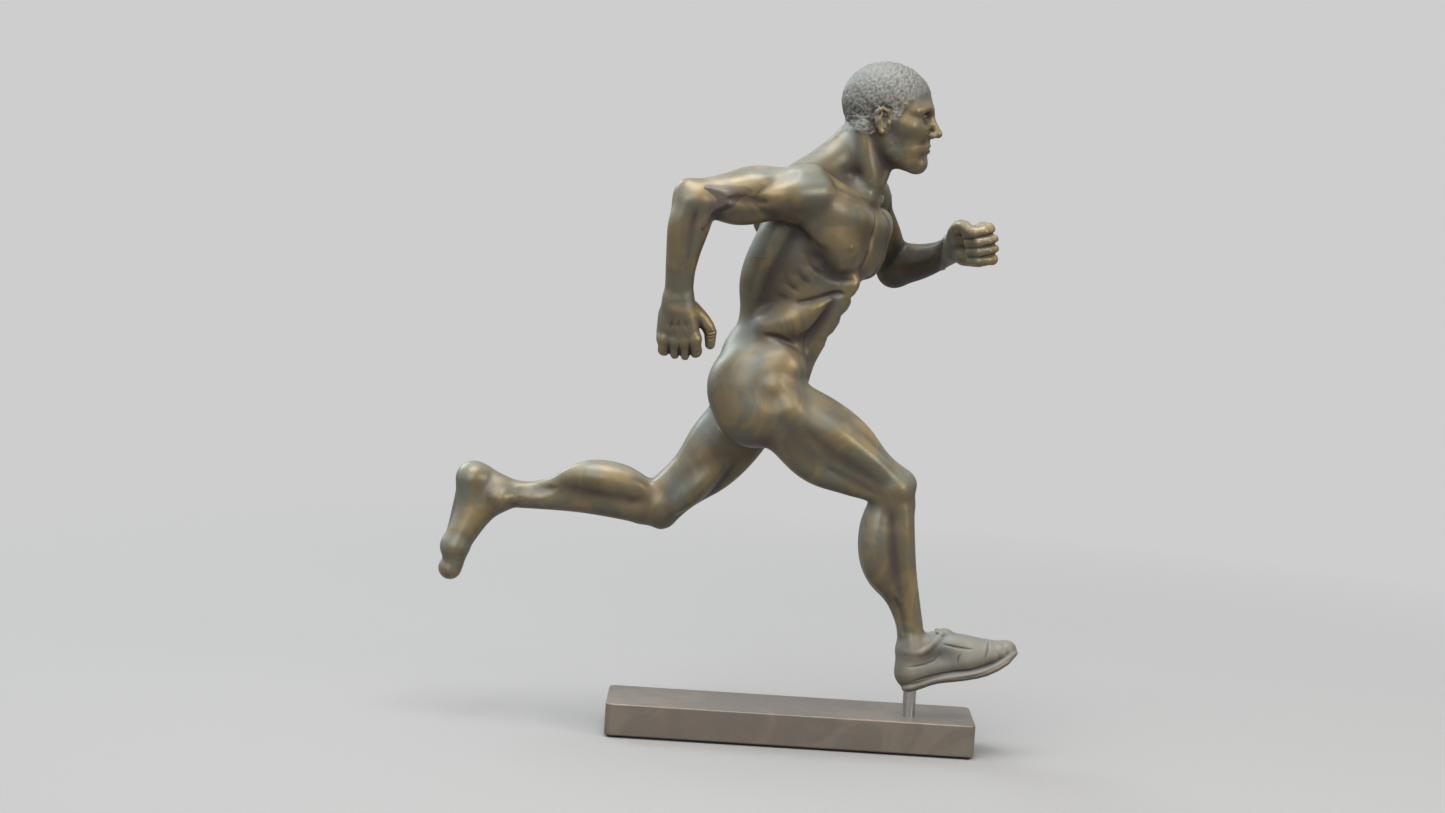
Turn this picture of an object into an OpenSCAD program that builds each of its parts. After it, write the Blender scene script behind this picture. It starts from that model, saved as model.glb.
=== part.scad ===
// Figure trophy: a running athlete cast in bronze sections, carried on one steel post
// above a plain bar base. The sections meet on dowels; the post is drawn down by a nut
// that is sunk in the underside of the base.
// Origin: centre of the base's underside. +X is the way the runner faces, +Y the runner's left.

/* [Base] */
// Length of the bar base
base_l = 170; // [160:1:200]
// Depth of the bar base
base_d = 43; // [40:1:56]
// Height of the bar base, without its pad
base_h = 15; // [14:0.5:20]
// Radius of the bar's upright corners
base_corner = 3.2; // [1:0.2:6]
// Chamfer round the bar's top and bottom edges
base_chamfer = 0.8; // [0.4:0.1:1.5]
// Thickness of the felt pad
pad_t = 1; // [0.5:0.1:2]

/* [Support post] */
// Diameter of the post between the base and the heel
post_d = 6; // [6:0.2:8]
// Diameter of the post's threaded ends
thread_d = 5; // [4:0.5:5]
// How far the figure is carried above the base
post_gap = 12; // [10:0.5:16]

/* [Figure] */
// Length of the thigh, hip joint to knee joint
thigh_len = 68; // [66:0.5:70]
// Length of the lower leg, knee joint to ankle joint
shin_len = 75; // [73:0.5:77]
// Length of the upper arm, shoulder joint to elbow joint
upper_arm_len = 51; // [50:0.5:53]
// Length of the forearm, elbow joint to wrist joint
forearm_len = 49; // [48:0.5:51]
// Height of the head, chin to crown
head_h = 49; // [47:0.5:51]
// Length of the running shoe
shoe_len = 60; // [58:0.5:61]
// Length of the bare foot
foot_len = 57; // [54:0.5:58]
// Length of one closed fist
fist_len = 21; // [20:0.5:22]

/* [Joining] */
// Diameter of the dowels in the figure's joints
dowel_d = 4; // [3:0.5:4]
// Length of each dowel
dowel_len = 16; // [14:1:18]

/* [Hidden] */

$fn = 64;
hull_fn = 24;                 // facets of the balls inside a hull
hand_fn = 16;                 // the same, in a hand
core_fn = 12;                 // the same, in the trunk's core
bore_gap = 0.05;              // radial clearance of a dowel or thread in its hole
far = 400;                    // larger than anything here

bronze = [0.42, 0.37, 0.27];
base_bronze = [0.40, 0.37, 0.33];
steel = [0.55, 0.53, 0.50];
felt = [0.10, 0.12, 0.11];

// ---- the pose -------------------------------------------------------------------------
// swing is turned forward from hanging straight down; splay leans towards the runner's left
function bone(swing, splay) = [
    sin(swing) * cos(splay),
    sin(splay),
    -cos(swing) * cos(splay)
];

base_top = pad_t + base_h;

right_hip = [-16.5, -15, 157.5];
left_hip = [-22.5, 15, 156];
right_shoulder = [-10, -31, 254];
left_shoulder = [18, 35, 257];
neck_root = [8, 0, 257];
head_centre = [28, -2, 291];

right_knee = right_hip + thigh_len * bone(57.5, 2);
right_ankle = right_knee + shin_len * bone(11, 4);
left_knee = left_hip + thigh_len * bone(-40.5, 2);
left_ankle = left_knee + shin_len * bone(-91, -3);
right_elbow = right_shoulder + upper_arm_len * bone(-85, -15);
right_wrist = right_elbow + forearm_len * bone(-4, 6);
left_elbow = left_shoulder + upper_arm_len * bone(26.5, 30);
left_wrist = left_elbow + forearm_len * bone(119, -50);
right_fist_way = bone(5, 6);
left_fist_way = bone(101, -45);

shoe_pitch = 16;              // toe-up angle of the running shoe
foot_pitch = 97;              // toe-down angle of the trailing foot
heel_bottom = base_top + post_gap;
post_x = right_ankle[0] - 0.5;
post_y = right_ankle[1];

// ---- helpers --------------------------------------------------------------------------
function unit(v) = v / norm(v);

// Stands a shape drawn along +Z on point a, pointing at point b
module aim(a, b) {
    d = b - a;
    translate(a)
        rotate([0, acos(d[2] / norm(d)), atan2(d[1], d[0])])
            children();
}

// Stands a shape on point o with its +Z along z and its +X as near to x_hint as that allows
module stand(o, z, x_hint) {
    zz = unit(z);
    yy = unit(cross(zz, x_hint));
    xx = cross(yy, zz);
    multmatrix([
        [xx[0], yy[0], zz[0], o[0]],
        [xx[1], yy[1], zz[1], o[1]],
        [xx[2], yy[2], zz[2], o[2]],
        [0, 0, 0, 1]
    ])
        children();
}

// Outline points of a round end of radius r, centred at height z, on the low or high side
function low_dome(r, z) = [for (t = [-90:18:-18]) [r * cos(t), z + r * sin(t)]];
function high_dome(r, z) = [for (t = [18:18:90]) [r * cos(t), z + r * sin(t)]];

// A turned limb from a to b: stations are [share of the length, radius]
module limb(a, b, stations, low_round = 0, high_round = 0) {
    len = norm(b - a);
    low = low_round > 0 ? low_dome(low_round, 0) : [[0, stations[0][0] * len]];
    high = high_round > 0 ? high_dome(high_round, len) : [[0, stations[len(stations) - 1][0] * len]];
    outline = concat(low, [for (s = stations) [s[1], s[0] * len]], high);
    aim(a, b)
        rotate_extrude()
            polygon(outline);
}

// An ellipsoid with half sizes s, turned by yaw about +Z and then leaned forward by pitch
module egg(centre, s, yaw = 0, pitch = 0, facets = hull_fn) {
    translate(centre)
        rotate([0, pitch, yaw])
            scale(s)
                sphere(r = 1, $fn = facets);
}

module ball(centre, r, facets = hull_fn) {
    translate(centre)
        sphere(r = r, $fn = facets);
}

// A dowel that crosses a joint: its middle at c, lying along direction d
module dowel(c, d, grow = 0) {
    aim(c, c + d)
        translate([0, 0, -dowel_len / 2 - grow])
            cylinder(d = dowel_d + 2 * grow, h = dowel_len + 2 * grow);
}

// ---- where the joints' dowels lie: [middle, direction] -----------------------------------
chest_centre = [0, 0, 234];
function toward(a, b, dist) = a + dist * unit(b - a);

neck_pin = [toward(neck_root, head_centre, 4), unit(head_centre - neck_root)];
right_shoulder_pin = [toward(right_shoulder, chest_centre, 10), unit(chest_centre - right_shoulder)];
left_shoulder_pin = [toward(left_shoulder, chest_centre, 10), unit(chest_centre - left_shoulder)];
right_elbow_pin = [toward(right_elbow, right_wrist, 9), unit(right_wrist - right_elbow)];
left_elbow_pin = [toward(left_elbow, left_wrist, 9), unit(left_wrist - left_elbow)];
right_wrist_pin = [right_wrist, unit(right_wrist - right_elbow)];
left_wrist_pin = [left_wrist, unit(left_wrist - left_elbow)];
hip_cut = 0.2;                // share of the thigh at which its casting begins
right_hip_pin = [toward(right_hip, right_knee, hip_cut * thigh_len), unit(right_knee - right_hip)];
left_hip_pin = [toward(left_hip, left_knee, hip_cut * thigh_len), unit(left_knee - left_hip)];
right_knee_pin = [toward(right_knee, right_ankle, 11), unit(right_ankle - right_knee)];
left_knee_pin = [toward(left_knee, left_ankle, 11), unit(left_ankle - left_knee)];
left_ankle_pin = [left_ankle, unit(left_ankle - left_knee)];

module pin_hole(pin) dowel(pin[0], pin[1], bore_gap);
module pin_part(pin) color(steel) dowel(pin[0], pin[1]);

// ---- base -----------------------------------------------------------------------------
counterbore_d = 16;
counterbore_h = 8;
washer_t = 1.2;
nut_af = 8;
nut_h = 4;

module base_outline(inset = 0) {
    r = max(base_corner - inset, 0.2);
    for (x = [-1, 1])
        for (y = [-1, 1])
            translate([x * (base_l / 2 - inset - r), y * (base_d / 2 - inset - r)])
                circle(r = r);
    square([base_l - 2 * inset - 2 * r, base_d - 2 * inset], center = true);
    square([base_l - 2 * inset, base_d - 2 * inset - 2 * r], center = true);
}

// One upright corner column of the bar, chamfered at both ends
module base_corner_column() {
    r = base_corner;
    c = base_chamfer;
    rotate_extrude()
        polygon([[0, 0], [r - c, 0], [r, c], [r, base_h - c], [r - c, base_h], [0, base_h]]);
}

// A beam along X of length l and depth d, chamfered on its long edges
module base_beam(l, d) {
    c = base_chamfer;
    rotate([90, 0, 90])
        translate([0, 0, -l / 2])
            linear_extrude(l)
                polygon([
                    [-d / 2 + c, 0], [d / 2 - c, 0], [d / 2, c], [d / 2, base_h - c],
                    [d / 2 - c, base_h], [-d / 2 + c, base_h], [-d / 2, base_h - c], [-d / 2, c]
                ]);
}

module base_form() {
    for (x = [-1, 1])
        for (y = [-1, 1])
            translate([x * (base_l / 2 - base_corner), y * (base_d / 2 - base_corner), 0])
                base_corner_column();
    base_beam(base_l - 2 * base_corner, base_d);
    rotate([0, 0, 90])
        base_beam(base_d - 2 * base_corner, base_l);
}

module base_bar() {
    color(base_bronze)
        difference() {
            translate([0, 0, pad_t])
                base_form();
            translate([post_x, post_y, 0]) {
                cylinder(d = thread_d + 2 * bore_gap, h = far);
                cylinder(d = counterbore_d, h = pad_t + counterbore_h);
            }
        }
}

module base_pad() {
    color(felt)
        linear_extrude(pad_t)
            base_outline(1.5);
}

// ---- support post ---------------------------------------------------------------------
post_seat = 4;                // how far the thick part of the post sinks into the heel
thread_up = 20;               // thread above the seat, into the lower leg
thread_down_end = pad_t + 0.6;

module support_post() {
    color(steel)
        translate([post_x, post_y, 0])
            rotate_extrude()
                polygon([
                    [0, thread_down_end], [thread_d / 2 - 0.5, thread_down_end],
                    [thread_d / 2, thread_down_end + 0.5], [thread_d / 2, base_top],
                    [post_d / 2, base_top], [post_d / 2, heel_bottom + post_seat],
                    [thread_d / 2, heel_bottom + post_seat],
                    [thread_d / 2, heel_bottom + post_seat + thread_up - 0.5],
                    [thread_d / 2 - 0.5, heel_bottom + post_seat + thread_up],
                    [0, heel_bottom + post_seat + thread_up]
                ]);
}

module post_hole() {
    translate([post_x, post_y, base_top])
        cylinder(d = post_d + 2 * bore_gap, h = heel_bottom + post_seat - base_top);
    translate([post_x, post_y, base_top])
        cylinder(d = thread_d + 2 * bore_gap, h = heel_bottom + post_seat + thread_up + 1 - base_top);
}

module post_washer() {
    color(steel)
        translate([post_x, post_y, pad_t + counterbore_h - washer_t])
            difference() {
                cylinder(d = 12, h = washer_t);
                translate([0, 0, -1])
                    cylinder(d = thread_d + 0.4, h = washer_t + 2);
            }
}

module post_nut() {
    color(steel)
        translate([post_x, post_y, pad_t + counterbore_h - washer_t - nut_h])
            difference() {
                cylinder(r = nut_af / 2 / cos(30), h = nut_h, $fn = 6);
                translate([0, 0, -1])
                    cylinder(d = thread_d + 2 * bore_gap, h = nut_h + 2);
            }
}

// ---- limbs: radius along each casting ----------------------------------------------------
right_thigh_stations = [[hip_cut, 19], [0.35, 19], [0.55, 17.2], [0.75, 13.8], [0.9, 11.9], [0.98, 11.4]];
left_thigh_stations = [[hip_cut, 18], [0.35, 17], [0.55, 15.2], [0.75, 13], [0.9, 11.6], [0.98, 11.2]];
shin_stations = [
    [0.02, 10], [0.12, 10.2], [0.28, 8.8], [0.5, 7.8], [0.65, 7.4], [0.8, 7.2], [0.93, 7.2], [1, 7.6]
];
calf_stations = [[0.1, 7], [0.24, 9.8], [0.38, 10.8], [0.52, 9.8], [0.68, 7], [0.84, 4.8], [0.95, 4.4]];
upper_arm_stations = [[0.06, 13], [0.25, 12.4], [0.45, 10.6], [0.65, 10.4], [0.85, 9.6], [0.97, 9]];
forearm_stations = [[0.03, 9], [0.18, 9.8], [0.35, 9.4], [0.6, 7.8], [0.85, 6.8], [1, 6.8]];

module right_thigh_form() limb(right_hip, right_knee, right_thigh_stations, high_round = 11.2);
module left_thigh_form() limb(left_hip, left_knee, left_thigh_stations, high_round = 11);
module upper_arm_form(shoulder, elbow) limb(shoulder, elbow, upper_arm_stations, 12.8, 8.8);
module forearm_form(elbow, wrist) limb(elbow, wrist, forearm_stations);

// The lower leg: a turned shin, with the calf turned on its own axis behind it
calf_back = 9;              // how far the calf's axis lies behind the shin's
module shin_form(knee, ankle) {
    back = unit(cross([0, 1, 0], ankle - knee)) * calf_back;
    limb(knee, ankle, shin_stations);
    limb(knee + back, ankle + back * 0.25, calf_stations);
}

module right_thigh() {
    color(bronze)
        difference() {
            right_thigh_form();
            pin_hole(right_hip_pin);
            pin_hole(right_knee_pin);
        }
}

module left_thigh() {
    color(bronze)
        difference() {
            left_thigh_form();
            pin_hole(left_hip_pin);
            pin_hole(left_knee_pin);
        }
}

module right_lower_leg() {
    color(bronze)
        difference() {
            shin_form(right_knee, right_ankle);
            right_thigh_form();
            pin_hole(right_knee_pin);
            post_hole();
        }
}

module left_lower_leg() {
    color(bronze)
        difference() {
            shin_form(left_knee, left_ankle);
            left_thigh_form();
            pin_hole(left_knee_pin);
            pin_hole(left_ankle_pin);
        }
}

module right_upper_arm() {
    color(bronze)
        difference() {
            upper_arm_form(right_shoulder, right_elbow);
            pin_hole(right_shoulder_pin);
            pin_hole(right_elbow_pin);
        }
}

module left_upper_arm() {
    color(bronze)
        difference() {
            upper_arm_form(left_shoulder, left_elbow);
            pin_hole(left_shoulder_pin);
            pin_hole(left_elbow_pin);
        }
}

module right_forearm() {
    color(bronze)
        difference() {
            forearm_form(right_elbow, right_wrist);
            upper_arm_form(right_shoulder, right_elbow);
            pin_hole(right_elbow_pin);
            pin_hole(right_wrist_pin);
        }
}

module left_forearm() {
    color(bronze)
        difference() {
            forearm_form(left_elbow, left_wrist);
            upper_arm_form(left_shoulder, left_elbow);
            pin_hole(left_elbow_pin);
            pin_hole(left_wrist_pin);
        }
}

// ---- hands: +Z runs from the wrist to the knuckles, +X to the thumb, +Y out of the back ----
module fist_form() {
    palm_w = 0.42 * fist_len;
    hull()
        for (x = [-1, 1]) {
            ball([x * palm_w * 0.45, 0, 1], 5, hand_fn);
            ball([x * palm_w * 0.8, 0.5, fist_len * 0.62], 4.4, hand_fn);
        }
    for (i = [0:3])
        hull() {
            x = (i - 1.5) * palm_w * 0.62;
            drop = abs(i - 1.8) * 0.9;
            ball([x, 1, fist_len * 0.78 - drop], 3.3, hand_fn);
            ball([x, -2.5, fist_len - drop], 3, hand_fn);
            ball([x, -7, fist_len * 0.7 - drop], 2.8, hand_fn);
        }
    hull() {
        ball([palm_w * 0.9, -1.5, 5], 3.4, hand_fn);
        ball([palm_w * 1.45, -4, fist_len * 0.6], 3, hand_fn);
        ball([palm_w * 1.2, -7, fist_len * 0.9], 2.7, hand_fn);
    }
}

// The back of the right hand faces outwards; the left hand's thumb is on top
module right_fist() {
    stand(right_wrist, right_fist_way, [1, 0, 0])
        fist_form();
}

module left_fist() {
    stand(left_wrist, left_fist_way, [-0.3, 0, 1])
        mirror([0, 1, 0])
            fist_form();
}

module right_hand() {
    color(bronze)
        difference() {
            right_fist();
            forearm_form(right_elbow, right_wrist);
            pin_hole(right_wrist_pin);
        }
}

module left_hand() {
    color(bronze)
        difference() {
            left_fist();
            forearm_form(left_elbow, left_wrist);
            pin_hole(left_wrist_pin);
        }
}

// ---- feet: +X runs to the toe, +Z up out of the sole, origin under the heel ----------------
module shoe_form() {
    l = shoe_len;
    // sole, from the heel to the rocker under the toe
    hull() {
        translate([8.5, 0, 0]) cylinder(r = 8, h = 5);
        translate([l * 0.42, 0, 2.5]) cylinder(r = 8, h = 3);
    }
    hull() {
        translate([l * 0.42, 0, 2.5]) cylinder(r = 8, h = 3);
        translate([l * 0.72, 0, 2.2]) cylinder(r = 10, h = 3);
        translate([l - 7.5, 0, 4.5]) cylinder(r = 7, h = 3);
    }
    // heel counter and upper
    hull() {
        egg([9.5, 0, 11], [9, 7.8, 11]);
        egg([l * 0.45, 0, 10], [12, 8, 9]);
        egg([l * 0.44, 0, 16], [7, 5.5, 8]);
    }
    hull() {
        egg([l * 0.45, 0, 10], [12, 8, 9.5]);
        egg([l * 0.74, 0, 9], [9, 9.4, 7]);
        egg([l - 8, 0, 9.5], [8, 7.4, 5.5]);
    }
}

module foot_form() {
    l = foot_len;
    hull() {
        egg([8, 0, 7.5], [8, 7, 7.5]);
        egg([l * 0.4, 0, 11], [10, 7, 10]);
        ball([14, 0, 19.5], 7.4);
    }
    hull() {
        egg([l * 0.4, 0, 11], [10, 7, 10]);
        egg([l * 0.7, 0, 7], [8, 8.8, 7]);
    }
    hull() {
        egg([l * 0.7, 0, 7], [8, 8.8, 7]);
        egg([l - 5, 2.5, 5.4], [5, 4.8, 4.6]);
        egg([l - 7, -4, 4.8], [4.4, 4, 4.2]);
    }
}

// The shoe hangs under the ankle; its heel rests on the post
module right_shoe_placed() {
    translate([post_x, post_y, heel_bottom])
        rotate([0, -shoe_pitch, 0])
            translate([-6.5, 0, -0.5])
                shoe_form();
}

module left_foot_placed() {
    translate(left_ankle)
        rotate([0, foot_pitch, 0])
            translate([-13, 0, -21])
                foot_form();
}

module right_shoe() {
    color(bronze)
        difference() {
            right_shoe_placed();
            shin_form(right_knee, right_ankle);
            post_hole();
        }
}

module left_foot() {
    color(bronze)
        difference() {
            left_foot_placed();
            shin_form(left_knee, left_ankle);
            pin_hole(left_ankle_pin);
        }
}

// ---- trunk and head ---------------------------------------------------------------------
hip_yaw = -12;                // the hips turn to the runner's left
chest_yaw = -26;              // the chest turns to the runner's right

pelvis_egg = [[-20, 0, 180], [18, 27, 15]];
waist_egg = [[-11, 0, 203], [18.5, 25, 14]];
chest_egg = [[-2, 1, 230], [27, 35, 16]];
collar_egg = [[3, 1, 246], [20, 32, 10]];
wall_t = 5;                   // wall of the hollow-cast trunk

module trunk_egg(e, yaw, pitch, inset = 0) {
    egg(e[0], e[1] - [inset, inset, inset], yaw, pitch, inset > 0 ? core_fn : hull_fn);
}

module trunk_form() {
    // each buttock, carried on down to where the thigh's casting begins
    hull() {
        trunk_egg(pelvis_egg, hip_yaw, 0);
        ball(right_hip + [-11, 0, 9], 20.5);
        ball(toward(right_hip, right_knee, hip_cut * thigh_len), 18.2);
    }
    hull() {
        trunk_egg(pelvis_egg, hip_yaw, 0);
        ball(left_hip + [-6, 0, 8], 17.5);
        ball(toward(left_hip, left_knee, hip_cut * thigh_len), 17.2);
    }
    hull() {
        trunk_egg(pelvis_egg, hip_yaw, 0);
        trunk_egg(waist_egg, -5, 20);
    }
    hull() {
        trunk_egg(waist_egg, -5, 20);
        trunk_egg(chest_egg, chest_yaw, 15);
        trunk_egg(collar_egg, chest_yaw, 15);
    }
    // sloping muscle from the shoulders up to the back of the neck
    hull() {
        trunk_egg(collar_egg, chest_yaw, 15);
        ball([2, -1, 261], 11.5);
    }
    hull() {
        ball([2, -1, 261], 11.5);
        ball([13, -1, 272], 9.5);
    }
}

// The space that the casting's core leaves, with the way that it is washed out by the neck
module trunk_core() {
    aim(neck_pin[0], chest_egg[0])
        cylinder(d = dowel_d + 2 * bore_gap, h = norm(chest_egg[0] - neck_pin[0]));
    hull() {
        trunk_egg(pelvis_egg, hip_yaw, 0, wall_t);
        trunk_egg(waist_egg, -5, 20, wall_t);
    }
    hull() {
        trunk_egg(waist_egg, -5, 20, wall_t);
        trunk_egg(chest_egg, chest_yaw, 15, wall_t + 1);
    }
}

module neck_form() {
    limb(neck_root, head_centre, [[0, 11.5], [0.4, 10.2], [1, 10]]);
}

module torso() {
    color(bronze)
        difference() {
            trunk_form();
            right_thigh_form();
            left_thigh_form();
            upper_arm_form(right_shoulder, right_elbow);
            upper_arm_form(left_shoulder, left_elbow);
            neck_form();
            trunk_core();
            for (pin = [neck_pin, right_shoulder_pin, left_shoulder_pin, right_hip_pin, left_hip_pin])
                pin_hole(pin);
        }
}

module head() {
    s = head_h / 49;
    color(bronze)
        difference() {
            union() {
                neck_form();
                translate(head_centre)
                    scale(s) {
                        hull() {
                            egg([-1.5, 0, 5.5], [19.5, 15.4, 18.4]);
                            egg([8.5, 0, -13], [9.5, 9, 10]);
                        }
                        hull() {
                            ball([16.5, 0, 1], 1.6);
                            ball([19.5, 0, -5.5], 2.2);
                        }
                        for (side = [-1, 1])
                            egg([-3, side * 15.3, -2.5], [3.6, 1.6, 5.6]);
                    }
            }
            pin_hole(neck_pin);
        }
}

// ---- assembly -----------------------------------------------------------------------------
base_bar();
base_pad();
support_post();
post_washer();
post_nut();
torso();
head();
right_upper_arm();
right_forearm();
right_hand();
left_upper_arm();
left_forearm();
left_hand();
right_thigh();
right_lower_leg();
right_shoe();
left_thigh();
left_lower_leg();
left_foot();
pin_part(neck_pin);  // neck_dowel
pin_part(right_shoulder_pin);  // right_shoulder_dowel
pin_part(right_elbow_pin);  // right_elbow_dowel
pin_part(right_wrist_pin);  // right_wrist_dowel
pin_part(left_shoulder_pin);  // left_shoulder_dowel
pin_part(left_elbow_pin);  // left_elbow_dowel
pin_part(left_wrist_pin);  // left_wrist_dowel
pin_part(right_hip_pin);  // right_hip_dowel
pin_part(right_knee_pin);  // right_knee_dowel
pin_part(left_hip_pin);  // left_hip_dowel
pin_part(left_knee_pin);  // left_knee_dowel
pin_part(left_ankle_pin);  // left_ankle_dowel
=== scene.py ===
"""A patinated bronze runner in mid-stride, carried by a short post on a plain bar base."""

import logging
import math
from dataclasses import dataclass, field
from enum import Enum
from typing import Callable, Optional, Sequence

import bmesh
import bpy
import numpy as np
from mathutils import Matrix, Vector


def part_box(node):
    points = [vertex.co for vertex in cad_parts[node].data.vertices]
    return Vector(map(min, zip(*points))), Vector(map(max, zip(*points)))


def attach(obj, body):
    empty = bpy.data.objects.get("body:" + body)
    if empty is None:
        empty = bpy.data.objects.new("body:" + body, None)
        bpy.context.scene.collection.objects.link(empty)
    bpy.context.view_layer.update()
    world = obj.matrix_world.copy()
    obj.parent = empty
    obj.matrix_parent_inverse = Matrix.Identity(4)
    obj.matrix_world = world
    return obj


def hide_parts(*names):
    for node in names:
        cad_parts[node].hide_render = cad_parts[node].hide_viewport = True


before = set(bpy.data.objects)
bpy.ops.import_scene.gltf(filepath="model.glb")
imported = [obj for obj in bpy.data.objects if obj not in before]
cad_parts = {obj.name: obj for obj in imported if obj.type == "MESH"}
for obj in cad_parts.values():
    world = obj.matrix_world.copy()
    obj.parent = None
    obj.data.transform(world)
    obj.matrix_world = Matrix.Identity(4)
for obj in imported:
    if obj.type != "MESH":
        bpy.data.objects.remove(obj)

import openvdb
from mathutils import Matrix, Vector

LOG = logging.getLogger("runner_trophy")
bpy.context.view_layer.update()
MM = 0.001
Point = Sequence[float]
Colour = tuple[float, float, float, float]
Array = np.ndarray

SOFT_EDGE = 1.7  # a mark has faded out at this many times its width
DEEP_MARK = 5.0  # how many times as far a mark reaches into the clay as it does sideways
ROUNDING = 3.15  # the width over which the muscles are softened into each other, in mm
FINE_CELL, SMALL_CELL, HEAD_CELL, LIMB_CELL, TRUNK_CELL = 0.2864, 0.35, 0.4, 0.45, 0.74
TOUCH_MARGIN = 1.5  # how far past its blend a touch is still worked, in mm
CUT_MARGIN = 1.7  # a cut is sawn this many times as far out as its joint reaches


# ---- clay: forms are built up in a block of cells and their common skin is cast ----------------


def vec(*values: float) -> Array:
    """A row of numbers as an array."""
    return np.array(values, float)


def unit(v: Array) -> Array:
    """The vector's direction, of length one."""
    return v / np.linalg.norm(v)


def smooth_path(points: Array, radii: Array, step: float = 4.0) -> tuple[Array, Array]:
    """Rounds a path of a few points into a finer one.

    Args:
        points: The path's points, in mm.
        radii: The radius at each point.
        step: About how long each new piece is.

    Returns:
        The finer points and their radii.
    """
    if len(points) < 3:
        return points, radii
    rows = np.column_stack([points, radii])
    ends = np.vstack([2 * rows[0] - rows[1], rows, 2 * rows[-1] - rows[-2]])
    out = []
    for i in range(1, len(ends) - 2):
        a, b, c, d = ends[i - 1], ends[i], ends[i + 1], ends[i + 2]
        pieces = max(1, min(6, int(round(np.linalg.norm((c - b)[:3]) / step))))
        for t in np.arange(pieces) / pieces:
            out.append(0.5 * (2 * b + (c - a) * t + (2 * a - 5 * b + 4 * c - d) * t * t
                              + (3 * b - a - 3 * c + d) * t ** 3))
    out.append(rows[-1])
    fine = np.array(out)
    return fine[:, :3], np.maximum(fine[:, 3], 0.05)


@dataclass(frozen=True)
class Place:
    """A local frame: an origin and three axes, in mm."""

    origin: Array
    axes: Array

    @staticmethod
    def facing(origin: Point, up: Point, front: Point) -> "Place":
        """A frame whose axes are front, left and up, with front turned square to up."""
        u = unit(np.array(up, float))
        f = np.array(front, float)
        f = unit(f - (f @ u) * u)
        return Place(np.array(origin, float), np.array([f, np.cross(u, f), u]))

    def at(self, *p: float) -> Array:
        """The world point of local coordinates."""
        return self.origin + np.array(p, float) @ self.axes

    def local(self, x: Array, y: Array, z: Array) -> tuple[Array, Array, Array]:
        """World coordinates seen from this frame."""
        o, a = self.origin, self.axes
        return tuple(((x - o[0]) * r[0] + (y - o[1]) * r[1] + (z - o[2]) * r[2]) for r in a)


@dataclass(frozen=True)
class Belly:
    """A bent, tapering roll of clay, pressed flat along one direction if flat is not 1."""

    points: Array
    radii: Array
    flat: float = 1.0
    side: Optional[Array] = None

    def bounds(self) -> tuple[Array, Array]:
        """The lowest and highest corners that the form can reach."""
        r = self.radii[:, None] * max(1.0, self.flat)
        return (self.points - r).min(0), (self.points + r).max(0)

    def distance(self, x: Array, y: Array, z: Array) -> Array:
        """How far each cell lies outside the form, and below zero inside it."""
        pts = self.points
        k = 1.0 / self.flat - 1.0
        s = self.side
        if s is not None and k != 0.0:
            d = x * s[0] + y * s[1] + z * s[2]
            x, y, z = x + k * d * s[0], y + k * d * s[1], z + k * d * s[2]
            pts = pts + k * (pts @ s)[:, None] * s
        best = None
        pairs = zip(pts[:-1], pts[1:], self.radii[:-1], self.radii[1:])
        for a, b, ra, rb in pairs:
            ab = b - a
            length = max(float(ab @ ab), 1e-9)
            t = ((x - a[0]) * ab[0] + (y - a[1]) * ab[1] + (z - a[2]) * ab[2]) / length
            t = np.clip(t, 0, 1)
            dx, dy, dz = x - a[0] - t * ab[0], y - a[1] - t * ab[1], z - a[2] - t * ab[2]
            reach = np.sqrt(dx * dx + dy * dy + dz * dz) + 1e-6
            d = reach - (ra + (rb - ra) * t)
            if s is not None and k != 0.0:
                lean = (dx * s[0] + dy * s[1] + dz * s[2]) / reach
                d = d / np.sqrt(1.0 + ((1.0 + k) ** 2 - 1.0) * lean * lean)
            best = d if best is None else np.minimum(best, d)
        return best


@dataclass(frozen=True)
class Lump:
    """An egg of clay with its own axes."""

    place: Place
    sizes: Array

    def bounds(self) -> tuple[Array, Array]:
        """The lowest and highest corners that the form can reach."""
        r = np.sqrt(((self.place.axes * self.sizes[:, None]) ** 2).sum(0))
        return self.place.origin - r, self.place.origin + r

    def distance(self, x: Array, y: Array, z: Array) -> Array:
        """How far each cell lies outside the form, and below zero inside it."""
        p, q, r = self.place.local(x, y, z)
        a, b, c = self.sizes
        k0 = np.sqrt((p / a) ** 2 + (q / b) ** 2 + (r / c) ** 2)
        k1 = np.sqrt((p / a ** 2) ** 2 + (q / b ** 2) ** 2 + (r / c ** 2) ** 2) + 1e-6
        return k0 * (k0 - 1.0) / k1


class Tool(Enum):
    """What a touch does to the clay."""

    ADD = "add"
    DIG = "dig"
    MARK = "mark"
    GRAIN = "grain"
    SOFTEN = "soften"


@dataclass(frozen=True)
class Touch:
    """One touch of a tool: a form, and how softly it melts into what is there."""

    tool: Tool
    form: object
    blend: float = 2.0
    height: float = 0.0
    pattern: Optional[Callable[[Array, Array, Array], Array]] = None


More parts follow.
